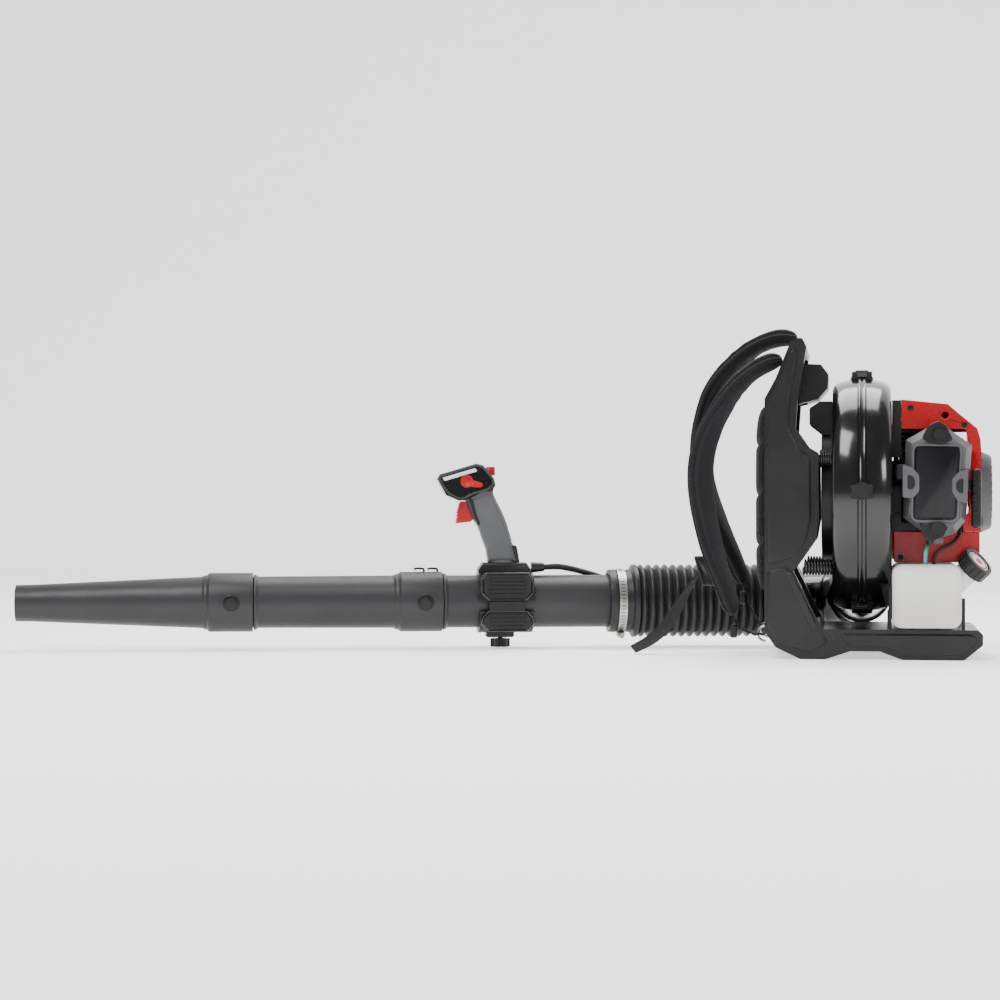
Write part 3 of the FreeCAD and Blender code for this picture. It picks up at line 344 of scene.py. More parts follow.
def surface(name, grid, finish, wrap_rows=False, wrap_columns=True, cap=False, uv=None,
            sharp=35.0):
    """Make an object from a grid of points, shape (rows, columns, 3), in metres.

    Face (i, j) joins points (i, j), (i, j+1), (i+1, j+1) and (i+1, j).
    """
    rows, columns = grid.shape[:2]
    points = grid.reshape(-1, 3)
    i = np.arange(rows if wrap_rows else rows - 1)
    j = np.arange(columns if wrap_columns else columns - 1)
    i, j = np.meshgrid(i, j, indexing="ij")
    next_i, next_j = (i + 1) % rows, (j + 1) % columns
    quads = np.stack([i * columns + j, i * columns + next_j, next_i * columns + next_j,
                      next_i * columns + j], axis=-1).reshape(-1, 4)
    faces = quads.tolist()
    if cap:
        faces.append(list(range(columns))[::-1])
        faces.append(list(range((rows - 1) * columns, rows * columns)))
    mesh = bpy.data.meshes.new(name)
    mesh.from_pydata(points.tolist(), [], faces)
    if uv is not None:
        layer = mesh.uv_layers.new(name="UVMap")
        corner = np.zeros(len(mesh.loops), dtype=np.int32)
        mesh.loops.foreach_get("vertex_index", corner)
        layer.data.foreach_set("uv", uv.reshape(-1, 2)[corner].astype(np.float32).ravel())
    return finished(name, mesh, finish, sharp, 1e-6)


def corner_arcs(corners, reach, steps=5):
    """Round a closed outline: at each corner a parabola runs from one side to the next."""
    corners = np.asarray(corners, float)
    back = np.roll(corners, 1, axis=0) - corners
    ahead = np.roll(corners, -1, axis=0) - corners
    reach = np.broadcast_to(np.asarray(reach, float), len(corners))[:, None]
    back_long = np.linalg.norm(back, axis=1, keepdims=True)
    ahead_long = np.linalg.norm(ahead, axis=1, keepdims=True)
    start = corners + back * np.minimum(0.45, reach / back_long)
    end = corners + ahead * np.minimum(0.45, reach / ahead_long)
    t = np.linspace(0, 1, steps)[None, :, None]
    curve = ((1 - t) ** 2 * start[:, None] + 2 * t * (1 - t) * corners[:, None]
             + t ** 2 * end[:, None])
    return curve.reshape(-1, corners.shape[1])


def distance_along(line):
    """The length of the line up to each of its points, in the line's own unit."""
    return np.r_[0, np.cumsum(np.linalg.norm(np.diff(line, axis=0), axis=1))]


def smooth_line(points, count):
    """A Catmull-Rom line through points, evenly spaced along its length."""
    p = np.asarray(points, float)
    p = np.vstack([2 * p[0] - p[1], p, 2 * p[-1] - p[-2]])
    t = np.linspace(0, 1, 24, endpoint=False)[None, :, None]
    a, b, c, d = (p[k:len(p) - 3 + k, None] for k in range(4))
    line = 0.5 * (2 * b + (c - a) * t + (2 * a - 5 * b + 4 * c - d) * t ** 2
                  + (3 * b - a - 3 * c + d) * t ** 3)
    line = np.vstack([line.reshape(-1, p.shape[1]), p[-2]])
    run = distance_along(line)
    even = np.linspace(0, run[-1], count)
    return np.stack([np.interp(even, run, line[:, k]) for k in range(p.shape[1])], axis=1)


def frames_along(line, up):
    """Tangent, side and normal at each point of a line; side = tangent x up, made unit."""
    tangent = np.gradient(line, axis=0)
    tangent /= np.linalg.norm(tangent, axis=1, keepdims=True)
    side = np.cross(tangent, up)
    side /= np.linalg.norm(side, axis=1, keepdims=True)
    return tangent, side, np.cross(side, tangent)


def pipe_along(name, line, radius, finish, up=(0, 0, 1), around=32, cap=True):
    """A round pipe: circle of the given radii carried along a line."""
    _, side, normal = frames_along(line, np.asarray(up, float))
    angle = np.linspace(0, 2 * np.pi, around, endpoint=False)
    radius = np.broadcast_to(radius, len(line))[:, None, None]
    grid = (line[:, None] + radius * (np.cos(angle)[None, :, None] * side[:, None]
                                      + np.sin(angle)[None, :, None] * normal[:, None]))
    return surface(name, grid, finish, cap=cap)


print("helpers ready")

# %% [markdown]
# ## The air pipe's own frame
# The pipe swings a few degrees towards the wearer, so its pieces are drawn along a straight line
# and then placed: `along` runs to the nozzle, `near` to the wearer's left, and Z stays up.

# %% Pipe frame
twist = joints["nozzle_twist"]
along = np.array(twist["axis"], float)
near = np.array([-along[1], along[0], 0.0])
TWIST_STATION = 900
pipe_start = np.array(twist["pos_m"], float) - along * TWIST_STATION * MM
UP = np.array([0.0, 0.0, 1.0])


def placed(local):
    """Points (station, near, up) in millimetres become points of the whole model in metres."""
    local = np.asarray(local, float) * MM
    return pipe_start + local[..., :1] * along + local[..., 1:2] * near + local[..., 2:] * UP


def around_pipe(profile, around):
    """A (station, radius) outline turned about the pipe: y = r cos(a), z = r sin(a)."""
    angle = np.linspace(0, 2 * np.pi, around, endpoint=False)
    x, r = profile[:, None, 0], profile[:, None, 1]
    return placed(np.stack([x + 0 * angle, r * np.cos(angle), r * np.sin(angle)], axis=-1))


def turned(name, outline, finish, body, replaces=(), reach=1.2, around=128, steps=5):
    """Turn a closed (station, radius) outline about the pipe's axis."""
    profile = corner_arcs(outline, reach, steps)
    piece = surface(name, around_pipe(profile, around), finish, wrap_rows=True, sharp=40)
    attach(piece, body)
    if replaces:
        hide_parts(*replaces)
    print(name, "length", round(profile[:, 0].max() - profile[:, 0].min()), "mm")
    return piece


# %% [markdown]
# The three rigid tubes are blow-moulded: plain walls with a small rolled flare where each one
# ends, and a wider collar that hides the bayonet lock. Turning one outline gives each of them.

# %% Rigid tubes
PIPE, BORE = 41.0, 38.8
COLLAR_BACK, COLLAR_LONG, COLLAR = 569, 67, 46.8
FRONT_BACK, FRONT_LONG, TIP, MOUTH = 863, 69, 1227, 28.5
turned("rear_air_tube", [(285, BORE), (285, PIPE), (COLLAR_BACK - 8, PIPE),
                         (COLLAR_BACK - 5, PIPE + 3), (COLLAR_BACK - 1, PIPE + 3),
                         (COLLAR_BACK - 1, PIPE - 0.6), (COLLAR_BACK + 45, PIPE - 0.6),
                         (COLLAR_BACK + 45, BORE)], "tube", "rear_tube", ["rear_tube"])
end = COLLAR_BACK + COLLAR_LONG
turned("middle_air_tube", [(COLLAR_BACK, PIPE - 0.3), (COLLAR_BACK, COLLAR), (end - 2, COLLAR),
                           (end, COLLAR - 1.5), (end + 1.5, COLLAR - 3.2), (end + 6, COLLAR - 3.6),
                           (end + 9, PIPE), (FRONT_BACK - 8, PIPE - 1), (FRONT_BACK - 5, PIPE + 2),
                           (FRONT_BACK - 1, PIPE + 2), (FRONT_BACK - 1, PIPE - 2),
                           (FRONT_BACK + 45, PIPE - 2), (FRONT_BACK + 45, PIPE - 4),
                           (end, PIPE - 4), (COLLAR_BACK + 48, PIPE - 4),
                           (COLLAR_BACK + 48, PIPE - 0.3)], "tube", "middle_tube", ["middle_tube"])
end = FRONT_BACK + FRONT_LONG
turned("nozzle_tube", [(FRONT_BACK, PIPE - 1.7), (FRONT_BACK, COLLAR - 1), (end - 2, COLLAR - 1),
                       (end, COLLAR - 2.5), (end + 1.5, COLLAR - 4.6), (end + 6, COLLAR - 5),
                       (end + 9, PIPE - 1), (TIP - 26, MOUTH), (TIP - 1, MOUTH - 0.4),
                       (TIP - 1, MOUTH - 2.2), (TIP - 26, MOUTH - 2.2), (end, PIPE - 4),
                       (FRONT_BACK + 47, PIPE - 4), (FRONT_BACK + 47, PIPE - 1.7)], "tube",
       "nozzle", ["nozzle"])

# %% [markdown]
# ## The bellows hose
# A bellows is a wave turned about the axis: rounded crests with narrow valleys between them. It
# is made in two halves, because the hose bends up and down in its rear half and from side to
# side in its front half.

# %% Bellows
HOSE, ROOT, HOSE_BORE, HOSE_LONG, RIDGES = 57.0, 50.5, 46.5, 262.0, 10


def bellows(name, start, end, node, around=96, fine=12):
    """Outer wall: r = root + (crest - root) * (0.5 - 0.5 cos)^0.6 of the station; inner: plain."""
    station = np.linspace(start, end, RIDGES * fine + 1)
    phase = (station - start) / (end - start) * RIDGES * 2 * np.pi
    outer = ROOT + (HOSE - ROOT) * (0.5 - 0.5 * np.cos(phase)) ** 0.6
    inner = HOSE_BORE + (outer - ROOT) * 0.5
    profile = np.vstack([np.stack([station, outer], 1), np.stack([station, inner], 1)[::-1]])
    piece = surface(name, around_pipe(profile, around), "hose", wrap_rows=True, sharp=60)
    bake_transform(piece)
    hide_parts(node)
    print(name, RIDGES, "ridges")
    return piece


bellows("rear_bellows", 0, HOSE_LONG / 2, "hose_rear")
bellows("front_bellows", HOSE_LONG / 2 + 0.3, HOSE_LONG - 0.3, "hose_front")

# %% [markdown]
# The cuff joins hose and tube, and a worm-drive band squeezes it. The band is thin strip steel
# with a row of thread slots, so small dark bars are set into it all round.

# %% Cuff and bands
turned("hose_end_cuff", [(HOSE_LONG, PIPE + 0.3), (HOSE_LONG, HOSE), (HOSE_LONG + 7, HOSE),
                         (HOSE_LONG + 10, PIPE + 9), (HOSE_LONG + 20, PIPE + 7.6),
                         (HOSE_LONG + 32, PIPE + 7.6), (HOSE_LONG + 36, PIPE + 8.6),
                         (307, PIPE + 8), (307, PIPE + 0.3)], "hose", "rear_tube", ["hose_cuff"])


def ring_of_bars(name, station, radius, count, size, finish, body):
    """Small bars set flush round the pipe: one bar's corners turned to each place."""
    corners = np.array([(x, y, z) for x in (-1, 1) for y in (-1, 1) for z in (-1, 1)]) * size / 2
    turn = np.linspace(0, 2 * np.pi, count, endpoint=False)[:, None]
    y = corners[None, :, 1] * np.cos(turn) - (radius + corners[None, :, 2]) * np.sin(turn)
    z = corners[None, :, 1] * np.sin(turn) + (radius + corners[None, :, 2]) * np.cos(turn)
    x = np.broadcast_to(station + corners[None, :, 0], y.shape)
    points = placed(np.stack([x, y, z], -1)).reshape(-1, 3)
    quads = np.array([(0, 1, 3, 2), (4, 6, 7, 5), (0, 4, 5, 1), (2, 3, 7, 6), (0, 2, 6, 4),
                      (1, 5, 7, 3)])
    faces = (quads[None] + 8 * np.arange(count)[:, None, None]).reshape(-1, 4)
    mesh = bpy.data.meshes.new(name)
    mesh.from_pydata(points.tolist(), [], faces.tolist())
    piece = finished(name, mesh, finish)
    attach(piece, body)
    return piece


BAND_STATION = HOSE_LONG + 26
ring_of_bars("band_slots", BAND_STATION, PIPE + 9.5, 56, np.array([6.0, 1.1, 0.6]), "black",
             "rear_tube")

# %% [markdown]
# ## Lock badges and cable guides
# On each collar a round badge marks the lock button. It is drawn as a dished disc with two
# raised rings: one outline turned about an axis that points at the viewer's side.

# %% Badges
def badge(name, station, collar, body):
    """A disc with rings, bent to the collar: its depth follows sqrt(collar^2 - z^2)."""
    rise = np.array([-1.0, 0.9, 1.3, 1.3, 0.4, 0.4, 1.1, 1.1, 0.4, 0.4, 0.9, 0.9, 0.6, 0.6])
    reach = np.array([13.0, 13.0, 12.4, 11.0, 10.6, 8.4, 8.1, 6.4, 6.1, 4.2, 3.9, 1.6, 1.3, 0.0])
    angle = np.linspace(0, 2 * np.pi, 64, endpoint=False)
    x = station + reach[:, None] * np.cos(angle)
    z = reach[:, None] * np.sin(angle)
    y = np.sqrt(collar ** 2 - z ** 2) + rise[:, None]
    piece = surface(name, placed(np.stack([x, y, z], -1)), "black", sharp=30)
    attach(piece, body)
    return piece


badge("middle_lock_badge", 597, COLLAR, "middle_tube")
badge("nozzle_lock_badge", 896, COLLAR - 1, "nozzle")
for number, station in enumerate((583, 604)):
    hook = np.array([(station - 7, 0, 45), (station - 7, 0, 49.5), (station - 5, 0, 51.5),
                     (station + 4, 0, 51.8), (station + 7, 0, 51), (station + 8, 0, 49.6)])
    wire = pipe_along("cable_hook_%d" % number, placed(smooth_line(hook, 24)), 1.7 * MM, "black",
                      up=tuple(near), around=12)
    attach(wire, "middle_tube")
print("badges 2, hooks 2")

# %% [markdown]
# ## Softened edges
# Moulded and pressed parts never have knife edges, and a rounded edge is what catches the light.
# A flat-sided part is copied, its loose triangles are welded into one skin, flat neighbours are
# merged, and a narrow bevel is laid along every real corner.

# %% Softened copies
def softened(node, body, finish, width=1.2, segments=2, angle=30):
    """A welded, bevelled copy that stands for the node."""
    source = frame["nodes"][node]
    mesh = source.data.copy()
    mesh.name = node + "_soft"
    tidy = bmesh.new()
    tidy.from_mesh(mesh)
    bmesh.ops.remove_doubles(tidy, verts=tidy.verts, dist=2e-5)
    bmesh.ops.dissolve_limit(tidy, angle_limit=math.radians(1.0), verts=tidy.verts,
                             edges=tidy.edges)
    bmesh.ops.triangulate(tidy, faces=[f for f in tidy.faces if len(f.verts) > 4])
    tidy.to_mesh(mesh)
    tidy.free()
    mesh.polygons.foreach_set("use_smooth", [True] * len(mesh.polygons))
    mesh.set_sharp_from_angle(angle=math.radians(angle))
    mesh.materials.clear()
    mesh.materials.append(FINISH[finish])
    piece = bpy.data.objects.new(node + "_soft", mesh)
    bpy.context.collection.objects.link(piece)
    add_bevel(piece, width, segments, angle)
    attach(piece, body)
    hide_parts(node)
    return piece


body_of_node = {node: body for body, nodes in frame["record"]["behaviour"]["bodies"].items()
                for node in nodes}
SOFTENED = {
    "backpack_frame": ("frame", 5.0, 3), "carry_handle": ("frame", 2.4, 3),
    "head_bezel": ("panel", 1.4, 2), "grip_near_half": ("grey", 0.8, 2),
    "grip_far_half": ("grey", 0.8, 2), "clamp_upper": ("black", 0.9, 2),
    "clamp_lower": ("black", 0.9, 2), "clamp_knob": ("black", 0.8, 2),
    "trigger": ("red", 0.7, 2), "cruise_lever": ("red", 0.6, 2), "stop_switch": ("red", 0.4, 2),
    "engine_cover": ("red", 0.9, 3), "lower_shroud": ("red", 0.9, 3),
    "rear_shroud": ("red", 0.9, 2), "air_cleaner_cover": ("grey", 1.6, 3),
    "cover_panel": ("panel", 0.6, 2), "cover_knob_top": ("black", 0.6, 2),
    "cover_knob_bottom": ("black", 0.6, 2), "choke_lever": ("black", 0.6, 2),
    "air_cleaner_backing": ("black", 0.8, 2), "air_filter": ("paper", 0.6, 1),
    "muffler_guard": ("black", 0.8, 2), "muffler": ("stained", 0.8, 2),
    "crankcase": ("black", 0.9, 2), "cylinder": ("black", 0.4, 1), "carburettor": ("cast", 0.7, 2),
    "recoil_housing": ("grey", 0.9, 2), "starter_grip": ("black", 0.8, 2),
    "fuel_cap": ("black", 0.8, 2), "mounting_brackets": ("black", 0.9, 2),
    "ladder_buckles": ("black", 0.8, 2), "volute_clips": ("black", 1.4, 2),
    "intake_guard": ("black", 0.9, 2), "ignition_coil": ("black", 0.6, 2),
}
for node, (finish, width, segments) in SOFTENED.items():
    softened(node, body_of_node[node], finish, width, segments)
# The shroud's flange by the fan housing is black, so those faces take a second finish.
flange = bpy.data.objects["rear_shroud_soft"].data
flange.materials.append(FINISH["black"])
middle = np.zeros(len(flange.polygons) * 3)
flange.polygons.foreach_get("center", middle)
FLANGE_X = -0.045
flange.polygons.foreach_set("material_index", (middle[::3] < FLANGE_X).astype(np.int32))
KEPT = {"elbow_clamp": "steel", "hose_clamp": "steel", "strap_hooks": "steel",
        "crankshaft": "steel", "spark_plug": "steel", "flywheel": "cast", "impeller": "black",
        "starter_pulley": "black", "fuel_tank": "tank", "isolator_springs": "spring"}
for node, finish in KEPT.items():
    part = frame["nodes"][node]
    part.data.materials.clear()
    part.data.materials.append(FINISH[finish])
print("softened", len(SOFTENED), "kept", len(KEPT))

# %% [markdown]
# ## The volute
# The fan turns inside a scroll whose wall moves outwards as it goes round, so that the air it
# gathers has room. Its outline is a spiral; carried across the width it bulges like a tyre, with
# a raised seam where the two halves meet. Both ends close inwards to their round openings.

# %% Scroll surface
CRANK_Z, VOLUTE_MID, VOLUTE_HALF = 244.0, -106.0, 43.0
ROUND_OVER = 15
SCROLL_SMALL, SCROLL_LARGE, OUTLET_TILT = 160.0, 178.0, math.radians(8)
SCROLL_FROM, SCROLL_TO = math.radians(-50), math.radians(262)


def scroll_outline(count=220):
    """Radius grows evenly with the angle; a chord closes the gap between end and start."""
    angle = np.linspace(SCROLL_FROM, SCROLL_TO, count)
    share = (angle - SCROLL_FROM) / (SCROLL_TO - SCROLL_FROM)
    radius = SCROLL_SMALL + share * (SCROLL_LARGE - SCROLL_SMALL)
    ring = np.stack([radius * np.cos(angle), radius * np.sin(angle)], axis=1)
    steps = np.linspace(0, 1, 26)[1:-1, None]
    return np.vstack([ring, ring[-1] + (ring[0] - ring[-1]) * steps])


def scroll_surface():
    """Rows run across the width: inset = 15 (1 - (1 - s^3)^0.5), with a 4 mm seam on top."""
    outline = scroll_outline()
    reach = np.linalg.norm(outline, axis=1, keepdims=True)
    way = outline / reach
    s = np.sin(np.linspace(-np.pi / 2, np.pi / 2, 61))
    inset = ROUND_OVER * (1 - np.sqrt(np.clip(1 - np.abs(s) ** 3, 0, 1)))
    seam = 4.0 * np.clip((6.5 - np.abs(s * VOLUTE_HALF)) / 1.2, 0, 1)
    groove = 2.0 * np.clip((1.6 - np.abs(s * VOLUTE_HALF)) / 0.8, 0, 1)
    wall = reach[None] - inset[:, None, None] + (seam - groove)[:, None, None]
    rows = np.concatenate([np.broadcast_to(s[:, None, None] * VOLUTE_HALF, wall.shape),
                           wall * way[None]], axis=2)
    rim = reach - ROUND_OVER

    def ending(side, hole):
        """One end wall: radius = rim (1 - share) + hole share, dished inwards on the way."""
        share = np.array([0.25, 0.27, 0.3, 0.62, 0.64, 0.66, 1.0, 1.0])[:, None, None]
        dish = np.array([0, 2.5, 3, 3, 1.0, 0, 0, 9.0])[:, None, None]
        radius = rim[None] * (1 - share) + hole * share
        x = np.broadcast_to(side * (VOLUTE_HALF - dish), radius.shape)
        return np.concatenate([x, radius * way[None]], axis=2)
    grid = np.concatenate([ending(-1, 92.0)[::-1], rows, ending(1, 12.0)], axis=0)
    grid = grid + np.array([VOLUTE_MID, 0, CRANK_Z])
    piece = surface("volute_shell", grid * MM, "gloss", sharp=50)
    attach(piece, "pack")
    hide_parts("volute_front", "volute_rear")
    return piece


volute = scroll_surface()
print("volute faces:", len(volute.data.polygons))

# %% [markdown]
# The outlet pipe leaves the scroll along a tangent, drops a little, and the elbow turns it
# forwards to the hose. The elbow is a circle carried along an arc that lies in the plane of its
# two end directions, with a flange and two stiffening rings.

# %% Outlet and elbow
ELBOW_BEND, OUTLET_Y = 72.0, 140.0
outlet_way = np.array([0, math.cos(OUTLET_TILT), -math.sin(OUTLET_TILT)])
throat = np.array([VOLUTE_MID, -(SCROLL_LARGE - PIPE) * math.sin(OUTLET_TILT),
                   CRANK_Z - (SCROLL_LARGE - PIPE) * math.cos(OUTLET_TILT)])
mouth = throat + outlet_way * (OUTLET_Y - throat[1]) / outlet_way[1]


def ringed_radius(count, plain, rings, height, wide):
    """A pipe radius with raised rings at shares of the length: plain + height in each ring."""
    share = np.linspace(0, 1, count)[:, None]
    lift = np.clip((wide - np.abs(share - np.asarray(rings)[None])) / (wide * 0.35), 0, 1)
    return plain + height * lift.max(axis=1)


outlet_line = np.linspace(throat + outlet_way * 30, mouth, 80)
outlet = pipe_along("volute_outlet", outlet_line * MM,
                    ringed_radius(80, PIPE, [0.975], 4, 0.03) * MM, "gloss", around=72)
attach(outlet, "pack")
normal = np.cross(outlet_way, along)
normal /= np.linalg.norm(normal)
centre = mouth + np.cross(normal, outlet_way) * ELBOW_BEND
bend = math.acos(float(outlet_way @ along))
turn = np.linspace(0, bend, 90)[:, None]
spoke = mouth - centre
elbow_line = centre + spoke * np.cos(turn) + np.cross(normal, spoke) * np.sin(turn)
ELBOW_RUN = np.arange(1, 7)[:, None] * 2.0
elbow_line = np.vstack([elbow_line, elbow_line[-1] + ELBOW_RUN * along])
elbow = pipe_along("elbow_shell", elbow_line * MM,
                   ringed_radius(96, PIPE, [0.03, 0.36, 0.68], 3.6, 0.03) * MM, "gloss",
                   up=tuple(normal), around=72)
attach(elbow, "pack")
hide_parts("outlet_elbow")
print("elbow turn", round(math.degrees(bend)), "degrees")

# %% [markdown]
# ## Shoulder straps
# A shoulder strap is a long foam pad: smooth cloth on the outside, spacer mesh against the
# wearer, and a narrow binding sewn over both edges. It is a flattened section carried along a
# curve. The section turns a little as it falls, which is how a hanging strap rests.

# %% Straps
STRAP_WIDE, STRAP_THICK, BOUND_FROM = 58.0, 26.0, 0.84


def rolled_sides(line, turn):
    """Both sides of a band: wide = y cos(r) + out sin(r), thick = out cos(r) - y sin(r)."""
    flat = np.broadcast_to(np.array([0.0, 1.0, 0.0]), line.shape)
    out = np.cross(frames_along(line, flat[0])[0], flat)
    out /= np.linalg.norm(out, axis=1, keepdims=True)
    run, steps = np.linspace(0, 1, len(line)), np.linspace(0, 1, len(turn))
    roll = np.radians(np.interp(run, steps, turn))[:, None]
    return flat * np.cos(roll) + out * np.sin(roll), out * np.cos(roll) - flat * np.sin(roll)


def strap(name, centre, y_centre, lean, turn):
    """Section: x = w sin(a), z = t |cos(a)|^0.55 (1 - sin(a)^4 / 4); the bound edge is flat."""
    line = smooth_line([(x, y_centre + shift, z) for (x, z), shift in zip(centre, lean)], 150)
    count = 72
    angle = np.linspace(0, 2 * np.pi, count, endpoint=False)
    across, over = np.sin(angle), np.cos(angle)
    half = STRAP_THICK / 2
    seam = 1 - 0.55 * np.exp(-((np.abs(across) - BOUND_FROM) / 0.035) ** 2)
    edge = np.where(np.abs(across) > BOUND_FROM, 0.42, 1 - 0.25 * np.abs(across) ** 4)
    depth = np.sign(over) * np.abs(over) ** 0.55 * half * seam * edge
    run = np.linspace(0, 1, len(line))
    ends = np.clip(np.minimum(run, 1 - run) / 0.035, 0, 1) ** 0.5
    wave = np.sin(run * 95 + np.sin(run * 31) * 2)
    folds = 1 + 0.035 * wave * np.exp(-((run - 0.2) / 0.18) ** 2)
    wide, thick = rolled_sides(line, turn)
    reach = STRAP_WIDE / 2 * (0.82 + 0.18 * ends)[:, None, None]
    swell = ((0.3 + 0.7 * ends) * folds)[:, None, None]
    grid = (line[:, None] + wide[:, None] * across[None, :, None] * reach
            + thick[:, None] * depth[None, :, None] * swell)
    long = distance_along(line)
    uv = np.stack(np.broadcast_arrays(across[None] * STRAP_WIDE / 2, long[:, None]), -1) * MM
    piece = surface(name, grid * MM, "strap", cap=True, uv=uv, sharp=70)
    for finish in ("mesh", "binding"):
        piece.data.materials.append(FINISH[finish])
    middle = (np.arange(count) + 0.5) / count * 2 * np.pi
    kind = np.where(np.abs(np.sin(middle)) > BOUND_FROM, 2, np.where(np.cos(middle) < 0, 1, 0))
    index = np.full(len(piece.data.polygons), 2)
    index[:(len(line) - 1) * count] = np.tile(kind, len(line) - 1)
    piece.data.polygons.foreach_set("material_index", index.astype(np.int32))
    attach(piece, "pack")
    print(name, "length", round(long[-1]), "mm")
    return piece


NEAR_STRAP = [(-223, 440), (-242, 436), (-266, 423), (-291, 400), (-312, 370), (-330, 336),
              (-341, 300), (-344, 262), (-340, 222), (-328, 165), (-310, 108), (-294, 62)]
FAR_STRAP = [(-204, 480), (-236, 479), (-270, 465), (-302, 438), (-330, 400), (-345, 350),
             (-350, 300), (-346, 256), (-326, 200), (-302, 145), (-286, 104)]
near_strap = strap("near_strap", NEAR_STRAP, -62, np.zeros(12), (0, 4, 14, 24, 28, 26, 20, 10, 2))
far_strap = strap("far_strap", FAR_STRAP, 62, np.zeros(11), (0, 4, 12, 20, 24, 22, 16, 8, 2))
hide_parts("strap_left")
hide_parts("strap_right")

# %% [markdown]
# ## Back pad
# The pad is foam under spacer mesh. Its face is crowned, thins to a bound edge, and has one
# upright and three level channels that let air past the wearer's back. It is drawn as rings
# that shrink from the edge to the middle, each ring a rounded rectangle.

# %% Pad
PAD_BACK, PAD_HIGH, PAD_HALF_Y, PAD_LOW, PAD_TOP = -247.3, 15.0, 95.0, 96.0, 372.0


def back_pad():
    """Ring corner rule: |y|^5 + |z|^5 = 1; height = 15 (1 - ring^7)^0.5, less the channels."""
    ring = np.sin(np.linspace(0.0, np.pi / 2, 70))[::-1]
    angle = np.linspace(0, 2 * np.pi, 200, endpoint=False)
    square = (np.abs(np.cos(angle)) ** 5 + np.abs(np.sin(angle)) ** 5) ** (-1 / 5)
    y = ring[:, None] * (square * np.cos(angle))[None] * PAD_HALF_Y
    mid, half = (PAD_LOW + PAD_TOP) / 2, (PAD_TOP - PAD_LOW) / 2
    z = mid + ring[:, None] * (square * np.sin(angle))[None] * half
    height = PAD_HIGH * np.sqrt(np.clip(1 - ring ** 7, 0, 1))[:, None] * np.ones_like(y)
    dip = 5.5 * np.exp(-(y / 7.5) ** 2)
    for level in (160.0, 234.0, 308.0):
        dip = np.maximum(dip, 5.0 * np.exp(-((z - level - 0.0016 * y ** 2) / 5.5) ** 2))
    height = np.clip(height - dip * np.clip(height / 8, 0, 1), 0.6, None)
    front = np.stack([PAD_BACK - height, y, z], -1)
    back = front[:1].copy()
    back[..., 0] = PAD_BACK
    grid = np.concatenate([back * 1.0, front])
    uv = grid[..., 1:] * MM
    piece = surface("back_cushion", grid * MM, "mesh", cap=True, uv=uv, sharp=60)
    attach(piece, "pack")
    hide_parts("back_pad")
    return piece


cushion = back_pad()
print("pad faces:", len(cushion.data.polygons))

# %% [markdown]
# ## Webbing
# Woven tape joins each strap to the frame, and one long free tail hangs from its buckle. Tape
# is thin and flat: a narrow rounded section carried along the path, with a slow twist in the
# tail where it falls.

# %% Tapes
TAPE_WIDE, TAPE_THICK = 25.0, 2.2


def tape(name, path, turn=(0, 0), wide=TAPE_WIDE):
    """A flat tape: the wide side starts along Y and rolls by `turn` degrees on its way."""
    line = smooth_line(path, 90)
    across, thick = rolled_sides(line, turn)
    section = corner_arcs([(-wide / 2, -TAPE_THICK / 2), (wide / 2, -TAPE_THICK / 2),
                           (wide / 2, TAPE_THICK / 2), (-wide / 2, TAPE_THICK / 2)], 0.9, 4)
    grid = (line[:, None] + across[:, None] * section[None, :, :1]
            + thick[:, None] * section[None, :, 1:])
    long = distance_along(line)
    uv = np.stack(np.broadcast_arrays(section[None, :, 0], long[:, None]), -1) * MM
    piece = surface(name, grid * MM, "webbing", cap=True, uv=uv, sharp=40)
    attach(piece, "pack")
    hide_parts("harness_webbing")
    return piece


tape("near_tape", [(-296, -62, 66), (-291, -62, 50), (-280, -62, 40), (-266, -62, 34),
                   (-250, -62, 33)])
tape("far_tape", [(-287, 62, 106), (-282, 62, 93), (-276, 62, 70), (-262, 62, 44),
                  (-250, 62, 38)])
tape("tail_tape", [(-344, -35, 130), (-349, -35, 122), (-364, -35, 98), (-380, -35, 70),
                   (-398, -35, 42), (-420, -35, 22), (-447, -35, 7)],
     turn=(0, 14, 34, 42, 38, 30))
print("tapes:", 3)

# %% [markdown]
# ## Isolators
# Four coil springs stand between the frame and the fan housing, so the engine's shake stays out
# of the wearer's back. Each is a helix of round wire between two moulded cups.

# %% Springs
def coil(name, start, end, reach, wire, turns):
    """A helix: position = start + run * (end - start) + reach * (cos, sin)(turns * run)."""
    start, end = np.asarray(start, float), np.asarray(end, float)
    run = np.linspace(0, 1, int(turns * 28))
    way = (end - start) / np.linalg.norm(end - start)
    side = np.cross(way, UP)
    angle = run * turns * 2 * np.pi
    line = (start + run[:, None] * (end - start) + reach * np.cos(angle)[:, None] * side
            + reach * np.sin(angle)[:, None] * np.cross(way, side))
    piece = pipe_along(name, line * MM, wire * MM, "spring", up=tuple(way), around=12)
    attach(piece, "pack")
    return piece


for side in (-1, 1):
    top = coil("upper_spring_%d" % (side + 1), (-168, 104 * side, 294), (-149.5, 104 * side, 294),
               10.2, 1.7, 5.5)
    low = coil("lower_spring_%d" % (side + 1), (-191, 106 * side, 134), (-149.5, 106 * side, 134),
               10.2, 1.7, 9.5)
    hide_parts("isolator_springs")
print("springs:", 4)
